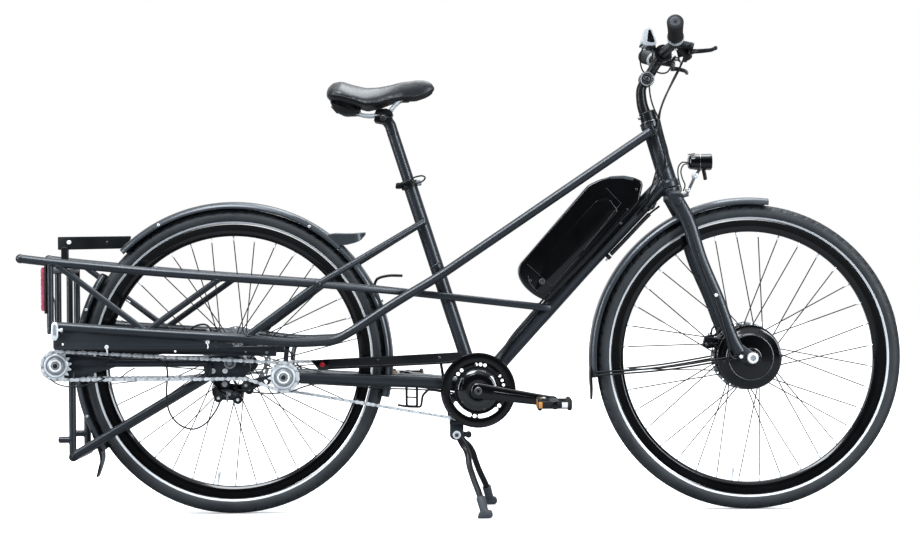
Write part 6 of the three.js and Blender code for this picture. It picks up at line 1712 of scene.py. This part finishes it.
edge_pts = piping(1, 8.0, 1, -309, -71)
edge_line = [(p[0], p[1], p[2]) for p in edge_pts] + [(p[0], -p[1], p[2]) for p in edge_pts[::-1]]
rail_pts = lambda s: smooth([(-262, s * 22, 928), (-244, s * 22, 924), (-224, s * 22, 919.5), (-196, s * 22, 921.5), (-176, s * 22, 925), (-160, s * 20, 943), (-148, s * 17, 953), (-136, s * 14, 957)], 40)
xs_base = np.linspace(-306, -72, 40)
base_rings = []
for x in xs_base:
    w, zt, zb, drop = at_station(x)
    w -= 1.6
    ringp = []
    for i in range(24):
        f = 2 * math.pi * i / 24
        ringp.append((x, w * math.copysign(abs(math.cos(f)) ** 0.8, math.cos(f)), zb + 4.5 + 6.0 * math.sin(f)))
    base_rings.append(ringp)
bumper = fillet([(-309, 954), (-304, 941), (-297, 930.5), (-276, 920.5), (-246, 921.5), (-242, 929), (-251, 941), (-268, 951)], 6, 4)
make("saddle_base_with_rails", [
    (loft(base_rings), MATTE),
    (tube(edge_line, 1.5, 10, closed=True, ref=(0, 0, 1)), MATTE),
    (tube(rail_pts(-1), 3.6, 20), SILVER), (tube(rail_pts(1), 3.6, 20), SILVER),
    (plate(bumper, -34, 34, (), 5.0), MATTE),
    (plate(fillet([(-288, 950), (-250, 950), (-238, 930), (-262, 924), (-286, 930)], 4, 3), -24, 24, (), 2.0), MATTE),
    *[(rbox(-306 + 2.6 * i, -304.4 + 2.6 * i, -26, 26, 938.5 - 3.0 * i, 941.5 - 3.0 * i, 0.6, 2), GLOSS) for i in range(5)],
    *[(rbox(-262, -240, s * 22 - 6, s * 22 + 6, 922, 940, 2.0, 3), MATTE) for s in (-1, 1)],
    (rbox(-150, -126, -18, 18, 951, 963, 3.0, 3), MATTE),
], MATTE, "seat", "saddle", angle=42)
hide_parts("saddle")


# ---------------------------------------------------------------- cables, hoses and wires
def wire(name, runs, body, material=None, blend_ends=None):
    """runs: (points, radius) or (points, radius, material). Every run is one smooth flexible line."""
    parts = []
    for run in runs:
        pts, r = run[0], run[1]
        m = run[2] if len(run) > 2 else None
        n = max(24, int(sum(np.linalg.norm(A(pts[i + 1]) - A(pts[i])) for i in range(len(pts) - 1)) / 3.2))
        t = tube(smooth(pts, n) if len(pts) > 2 else pts, r, 14, ref=None, cap=r * 0.9)
        parts.append((t, m) if m else t)
    if blend_ends:
        o = make(name, parts, material or CABLE, None, (), angle=60)
        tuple(blend_ends[0])
        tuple(blend_ends[1])
        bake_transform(o)
    else:
        o = make(name, parts, material or CABLE, body, (), angle=60)
    return o


# handlebar: loop from the display's back round to the stem, brake hoses, shift cable
wire("handlebar_cables", [
    # long hose that curls ahead of the bar and drops in a wide bow to the head tube
    ([(497, -124, 1058.5), (503, -100, 1056), (506, -70, 1050), (507, -40, 1040), (502, -22, 1026), (492, -16, 1008), (478, -20, 980), (464, -23, 950), (455, -23.5, 925), (452, -23.5, 905)], 2.3),
    ([(497, 124, 1058.5), (503, 100, 1056), (507, 66, 1051), (509, 30, 1043), (506, 6, 1030), (496, -4, 1010), (482, -2, 984), (468, 8, 955), (458, 18, 925), (452, 22, 900)], 2.2),
    # small drooping loop below the clamp
    ([(440, -20, 1071), (438, -26, 1058), (436, -28, 1040), (438, -28, 1024), (446, -28, 1014), (458, -28, 1010), (470, -28, 1012), (478, -27, 1022), (482, -26, 1036), (486, -30, 1048)], 1.9),
    ([(452, -24, 1036), (460, -27, 1032), (472, -28, 1033), (482, -30, 1040), (490, -34, 1050)], 1.7),
    # thin lead down the front of the stem
    ([(430, -18.5, 985), (432, -19, 962), (437, -19.5, 940), (444, -20, 922), (451, -20.5, 908)], 1.9),
    ([(486, -120, 1036), (490, -100, 1030), (493, -76, 1034), (492, -54, 1042), (488, -36, 1044), (482, -24, 1036)], 2.0),
    ([(497, 128, 1054), (500, 100, 1046), (500, 70, 1042), (496, 40, 1036), (488, 24, 1030)], 1.9),
    ([(420, 8, 1074), (414, 14, 1060), (414, 20, 1042), (420, 24, 1022), (434, 24, 1010)], 1.7),
], "steering")

# bundle that passes the steering head
P0, P1 = tuple((A(on_head(60)) + A((0, 0, 0))) * MM), tuple((A(on_head(-14))) * MM)
wire("head_tube_cables", [
    ([(452, -23.5, 905), (456, -26, 885), (462, -27, 860), (470, -27.5, 830), (472, -28, 805), (463, -29, 782), (449, -27.5, 758), (437, -24, 737), (425, -20.8, 718)], 2.2),
    ([(452, 22, 900), (454, 25, 885), (460, 27.5, 862), (468, 28, 830), (466, 28.5, 800), (452, 29, 777), (440, 26, 744), (425, 20.8, 718)], 2.2),
    ([(451, -20.5, 908), (449, -25, 893), (446, -27, 865), (449, -28, 838), (449, -28.5, 810), (443, -28.5, 783), (434, -27, 752), (421, -23.8, 716)], 1.9),
], None, blend_ends=(P0, P1))

# wiring along the down tube, with two plugs and a short loop back to the battery
wire("down_tube_wiring", [
    ([(425, -20.8, 718), (404, -20.8, 697), (380, -20.8, 672), (352, -20.8, 643), (320, -20.8, 610), (290, -20.8, 579), (262, -20.8, 550), (238, -20.8, 525)], 2.3),
    ([(421, -23.8, 716), (402, -24.6, 696), (384, -24.8, 676), (356, -24.8, 647), (334, -24.8, 624), (318, -24.6, 607), (306, -24.2, 595), (296, -23.4, 584)], 1.9),
    ([(425, 20.8, 718), (404, 20.8, 697), (352, 20.8, 643), (300, 20.8, 589), (262, 20.8, 550), (206, 20.6, 492)], 2.2),
    ([(440, -17, 733), (434, -21.4, 722), (424, -22.6, 708), (412, -21.4, 696), (400, -18.6, 682)], 2.0),
    ([(444, -13, 716), (442, -19.5, 708), (434, -21.2, 700), (424, -20, 692)], 2.0),
    # plugs
    ([(424, -22.6, 702), (412, -22.0, 690)], 4.6, MATTE),
    ([(440, -20.5, 706), (431, -19.4, 697)], 4.2, MATTE),
], "frame")

# ribbed wrap on the upper flank below the battery
def ribbed(points, r, pitch=4.2, swell=0.7, n_per=8):
    length = sum(np.linalg.norm(A(points[i + 1]) - A(points[i])) for i in range(len(points) - 1))
    n = int(length / pitch * n_per)
    p = smooth(points, n)
    rr = [r + swell * (0.5 + 0.5 * math.cos(2 * math.pi * i / n_per)) for i in range(len(p))]
    return tube(p, rr, 20, ref=None)


def under_tube(x, off):
    """A point off mm below the down tube's axis, in the middle plane."""
    z = 567 + (x - 281.5) * 1.04509
    return (x + 0.7225 * off, -4, z - 0.6914 * off)


sleeve = [under_tube(x, o) for x, o in ((322, 23.4), (345, 23.8), (370, 24), (395, 24), (412, 24.6))]
make("ribbed_connector_sleeve", [
    ribbed(sleeve, 4.4, 5.0, 0.9),
    ([tube(smooth([under_tube(412, 24.6), under_tube(420, 26), under_tube(432, 29)], 10), 2.4, 12, ref=None)][0], CABLE),
    (turn(soft([(0, 0), (6.4, 0), (6.4, 9), (0, 9)], 1.0, 3), under_tube(320, 23.4), (-0.69, 0, -0.72), 32), MATTE),
    (turn(soft([(0, 0), (2.4, 0), (2.4, 7), (0, 7)], 0.5, 2), under_tube(314, 25), (-0.69, 0, -0.72), 20), SILVER),
], MATTE, "frame", (), angle=60)

wrap = [(86, -19.5, 366), (100, -21.5, 392), (118, -22.4, 416), (140, -22.5, 440), (154, -22, 456), (166, -20.5, 470), (172, -17, 480)]
make("wiring_wrap", [ribbed(wrap, 4.2),
    ([tube(smooth([(172, -17, 480), (178, -13, 487), (184, -8, 492)], 12), 2.4, 12, ref=None)][0], CABLE),
    tube(smooth([(86, -19.5, 366), (78, -20, 350), (70, -21, 336), (60, -23.6, 320), (44, -26, 306)], 24), 2.3, 14, ref=None),
], MATTE, "frame", (), angle=60)

# shift cable and brake hose under the stay, back to the hanger
wire("stay_cables", [
    ([(44, -26, 262), (20, -30, 258), (-20, -41, 268), (-60, -45, 281), (-120, -48, 287), (-190, -50, 290), (-250, -56, 296), (-300, -66, 300), (-345, -84, 303), (-372, -96, 297), (-400, -99, 287), (-440, -96, 284), (-480, -92, 286), (-520, -84, 292)], 1.7),
    ([(20, 26, 262), (-40, 41, 274), (-120, 46, 287), (-220, 52, 294), (-320, 66, 300), (-390, 84, 330), (-420, 96, 372), (-440, 104, 388)], 2.0),
], "frame")

# swing side: shift cable loop over the hub to the derailleur, brake hose, lamp wire
wire("swing_cables", [
    ([(-704, -90.6, 362.5), (-694, -92, 361), (-682, -91, 350), (-678, -89.6, 330), (-681, -88, 296), (-680, -88, 264), (-672, -86, 236), (-652, -84, 213), (-622, -81, 203), (-596, -78, 214), (-574, -74, 240), (-562, -71, 264), (-556, -69, 284)], 2.0),
    ([(-812, -89.8, 362), (-780, -90, 363.4), (-740, -90, 363.2), (-704, -90.6, 362.5)], 1.9),
    ([(-598, 57, 424), (-612, 62, 436), (-640, 72, 432), (-672, 80, 404), (-700, 84, 374), (-760, 88, 366), (-826, 88.6, 368), (-880, 84, 352)], 2.4),
    ([(-840, -88, 330), (-812, -90, 316), (-790, -90, 318), (-770, -90, 334), (-752, -90, 344)], 1.3),
], "swing")

# thin wires at the back: lamp lead and the loop below the pivot
wire("rear_wires", [
    ([(-941, -134, 528), (-934, -128, 520), (-926, -126, 500), (-924, -126, 460), (-922, -124, 438), (-915, -120, 420), (-912, -112, 402)], 1.3),
    ([(-941, -134, 532), (-936, -122, 552), (-932, -108, 558)], 1.2),
    ([(-941, -110, 322), (-926, -110, 311), (-897, -110, 303.6), (-860, -110, 307), (-830, -110, 316), (-816, -108, 322)], 1.5),
], "frame")

# front wheel motor lead and brake hose on the fork
wire("fork_cables", [
    ([(620, -69, 352), (612, -71, 352), (604, -71, 362), (600, -72, 382), (594, -73, 410), (582, -72, 452), (566, -69, 500), (548, -66, 545), (534, -62, 590), (520, -57, 640), (502, -50, 690), (494, -40, 712)], 2.6),
    ([(578, 50, 402), (581, 53, 416), (590, 57, 424), (597, 60, 414), (604, 64, 402), (600, 70, 420), (588, 72, 452), (571, 70, 500), (549, 66, 560), (532, 62, 612), (512, 54, 672), (496, 42, 708)], 2.4),
    # lamp lead curls from the lamp's back to the crown
    ([(520, 8, 806), (508, 10, 806), (500, 12, 796), (499, 13, 776), (503, 13, 756), (506, 12, 742), (502, 10, 733)], 1.6),
    ([(521, -6, 802), (510, -8, 800), (503, -9, 786), (506, -10, 768), (512, -10, 752), (508, -9, 738)], 1.6),
], "steering")


# ---------------------------------------------------------------- world, lights, floor, camera
scene = bpy.context.scene
scene.view_settings.view_transform = "Standard"
scene.view_settings.look = "None"

world = bpy.data.worlds.new("studio")
scene.world = world
world.use_nodes = True
wt = world.node_tree
wt.nodes.clear()
w_out = wt.nodes.new("ShaderNodeOutputWorld")
w_mix = wt.nodes.new("ShaderNodeMixShader")
w_path = wt.nodes.new("ShaderNodeLightPath")
w_cam = wt.nodes.new("ShaderNodeBackground")
w_env = wt.nodes.new("ShaderNodeBackground")
w_cam.inputs[0].default_value = (1, 1, 1, 1)
w_cam.inputs[1].default_value = 1.0
w_tc = wt.nodes.new("ShaderNodeTexCoord")
w_sep = wt.nodes.new("ShaderNodeSeparateXYZ")
wt.links.new(w_tc.outputs["Generated"], w_sep.inputs[0])


def world_ramp(source, stops):
    mp = wt.nodes.new("ShaderNodeMapRange")
    mp.inputs["From Min"].default_value = -1
    mp.inputs["From Max"].default_value = 1
    wt.links.new(source, mp.inputs[0])
    rp = wt.nodes.new("ShaderNodeValToRGB")
    wt.links.new(mp.outputs[0], rp.inputs[0])
    cr = rp.color_ramp
    cr.elements[0].position, cr.elements[0].color = (stops[0][0] + 1) / 2, (*stops[0][1], 1)
    cr.elements[1].position, cr.elements[1].color = (stops[-1][0] + 1) / 2, (*stops[-1][1], 1)
    for pos, c in stops[1:-1]:
        e = cr.elements.new((pos + 1) / 2)
        e.color = (*c, 1)
    return rp.outputs[0]


# bright overhead and behind, dark towards the viewer at eye level
overhead = world_ramp(w_sep.outputs[2], [(-1, (0.5, 0.5, 0.5)), (-0.15, (0.2, 0.2, 0.21)), (0.0, (0.012, 0.013, 0.015)), (0.34, (0.014, 0.016, 0.019)), (0.56, (0.16, 0.175, 0.20)), (0.82, (0.95, 0.98, 1.0)), (1, (1, 1, 1))])
behind = world_ramp(w_sep.outputs[1], [(-1, (0, 0, 0)), (0.15, (0, 0, 0)), (0.55, (0.62, 0.64, 0.67)), (1, (0.85, 0.87, 0.9))])
w_max = wt.nodes.new("ShaderNodeMix")
w_max.data_type = "RGBA"
w_max.blend_type = "LIGHTEN"
w_max.inputs[0].default_value = 1.0
wt.links.new(overhead, w_max.inputs[6])
wt.links.new(behind, w_max.inputs[7])
wt.links.new(w_max.outputs[2], w_env.inputs[0])
w_env.inputs[1].default_value = 1.0
wt.links.new(w_path.outputs["Is Camera Ray"], w_mix.inputs[0])
wt.links.new(w_env.outputs[0], w_mix.inputs[1])
wt.links.new(w_cam.outputs[0], w_mix.inputs[2])
wt.links.new(w_mix.outputs[0], w_out.inputs[0])


def area_light(name, at, to, size, power, color=(1, 1, 1), size_y=None):
    d = bpy.data.lights.new(name, "AREA")
    d.shape = "RECTANGLE"
    d.size, d.size_y = size, size_y or size
    d.energy = power
    d.color = color
    o = bpy.data.objects.new(name, d)
    scene.collection.objects.link(o)
    o.location = at
    o.rotation_euler = (Vector(to) - Vector(at)).to_track_quat("-Z", "Y").to_euler()
    return o


area_light("key_light", (-1.2, -1.9, 3.6), (0, 0, 0.5), 1.8, 150, (0.90, 0.95, 1.0))
area_light("top_light", (0.4, 0.7, 3.4), (0, 0, 0.4), 2.2, 110, (0.90, 0.95, 1.0))
area_light("front_right_light", (2.7, -2.5, 1.5), (0.5, 0, 0.7), 0.8, 108, (0.88, 0.94, 1.0), 2.4)
area_light("rear_left_light", (-3.2, -1.5, 1.3), (-0.5, 0, 0.5), 0.6, 64, (0.90, 0.95, 1.0), 2.2)

floor_mat, f_nt, f_b, f_tc = nodes_of("pale_floor")
f_noise = noise_node(f_nt, f_tc, 1.3, 3)
f_col = ramp(f_nt, f_noise.outputs[0], [(0.3, (0.93, 0.93, 0.93)), (0.7, (0.96, 0.96, 0.96))])
f_nt.links.new(f_col.outputs[0], f_b.inputs["Base Color"])
f_b.inputs["Emission Color"].default_value = (1, 1, 1, 1)
f_geo = f_nt.nodes.new("ShaderNodeNewGeometry")
f_sep = f_nt.nodes.new("ShaderNodeSeparateXYZ")
f_nt.links.new(f_geo.outputs["Position"], f_sep.inputs[0])
f_far = f_nt.nodes.new("ShaderNodeMapRange")
f_far.interpolation_type = "SMOOTHSTEP"
f_far.inputs["From Min"].default_value = 0.25
f_far.inputs["From Max"].default_value = 1.6
f_far.inputs["To Min"].default_value = 0.26
f_far.inputs["To Max"].default_value = 1.0
f_nt.links.new(f_sep.outputs[1], f_far.inputs[0])
f_path = f_nt.nodes.new("ShaderNodeLightPath")
f_seen = f_nt.nodes.new("ShaderNodeMath")
f_seen.operation = "MULTIPLY"
f_nt.links.new(f_far.outputs[0], f_seen.inputs[0])
f_nt.links.new(f_path.outputs["Is Camera Ray"], f_seen.inputs[1])
f_nt.links.new(f_seen.outputs[0], f_b.inputs["Emission Strength"])
f_dim = f_nt.nodes.new("ShaderNodeMix")
f_dim.data_type = "RGBA"
f_dim.inputs[6].default_value = (0.20, 0.21, 0.22, 1)
f_nt.links.new(f_path.outputs["Is Camera Ray"], f_dim.inputs[0])
f_nt.links.new(f_col.outputs[0], f_dim.inputs[7])
f_nt.links.new(f_dim.outputs[2], f_b.inputs["Base Color"])
f_b.inputs["Roughness"].default_value = 0.9
f_b.inputs["Specular IOR Level"].default_value = 0.1
f_me = bpy.data.meshes.new("studio_floor")
f_me.from_pydata([(-9, -5, -0.0005), (9, -5, -0.0005), (9, 14, -0.0005), (-9, 14, -0.0005)], [], [(0, 1, 2, 3)])
f_me.materials.append(floor_mat)
f_obj = bpy.data.objects.new("studio_floor", f_me)
scene.collection.objects.link(f_obj)

cam_d = bpy.data.cameras.new("camera")
cam = bpy.data.objects.new("camera", cam_d)
scene.collection.objects.link(cam)
cam_d.sensor_width = 36
cam_d.lens = 69.03
cam_d.clip_start, cam_d.clip_end = 0.05, 60
cam.matrix_world = Matrix.Translation((-0.0113, -4.1, 0.5612)) @ Matrix.Rotation(math.radians(90), 4, "X") @ Matrix.Rotation(math.radians(-0.501), 4, "Z")
scene.camera = cam

bpy.context.view_layer.update()
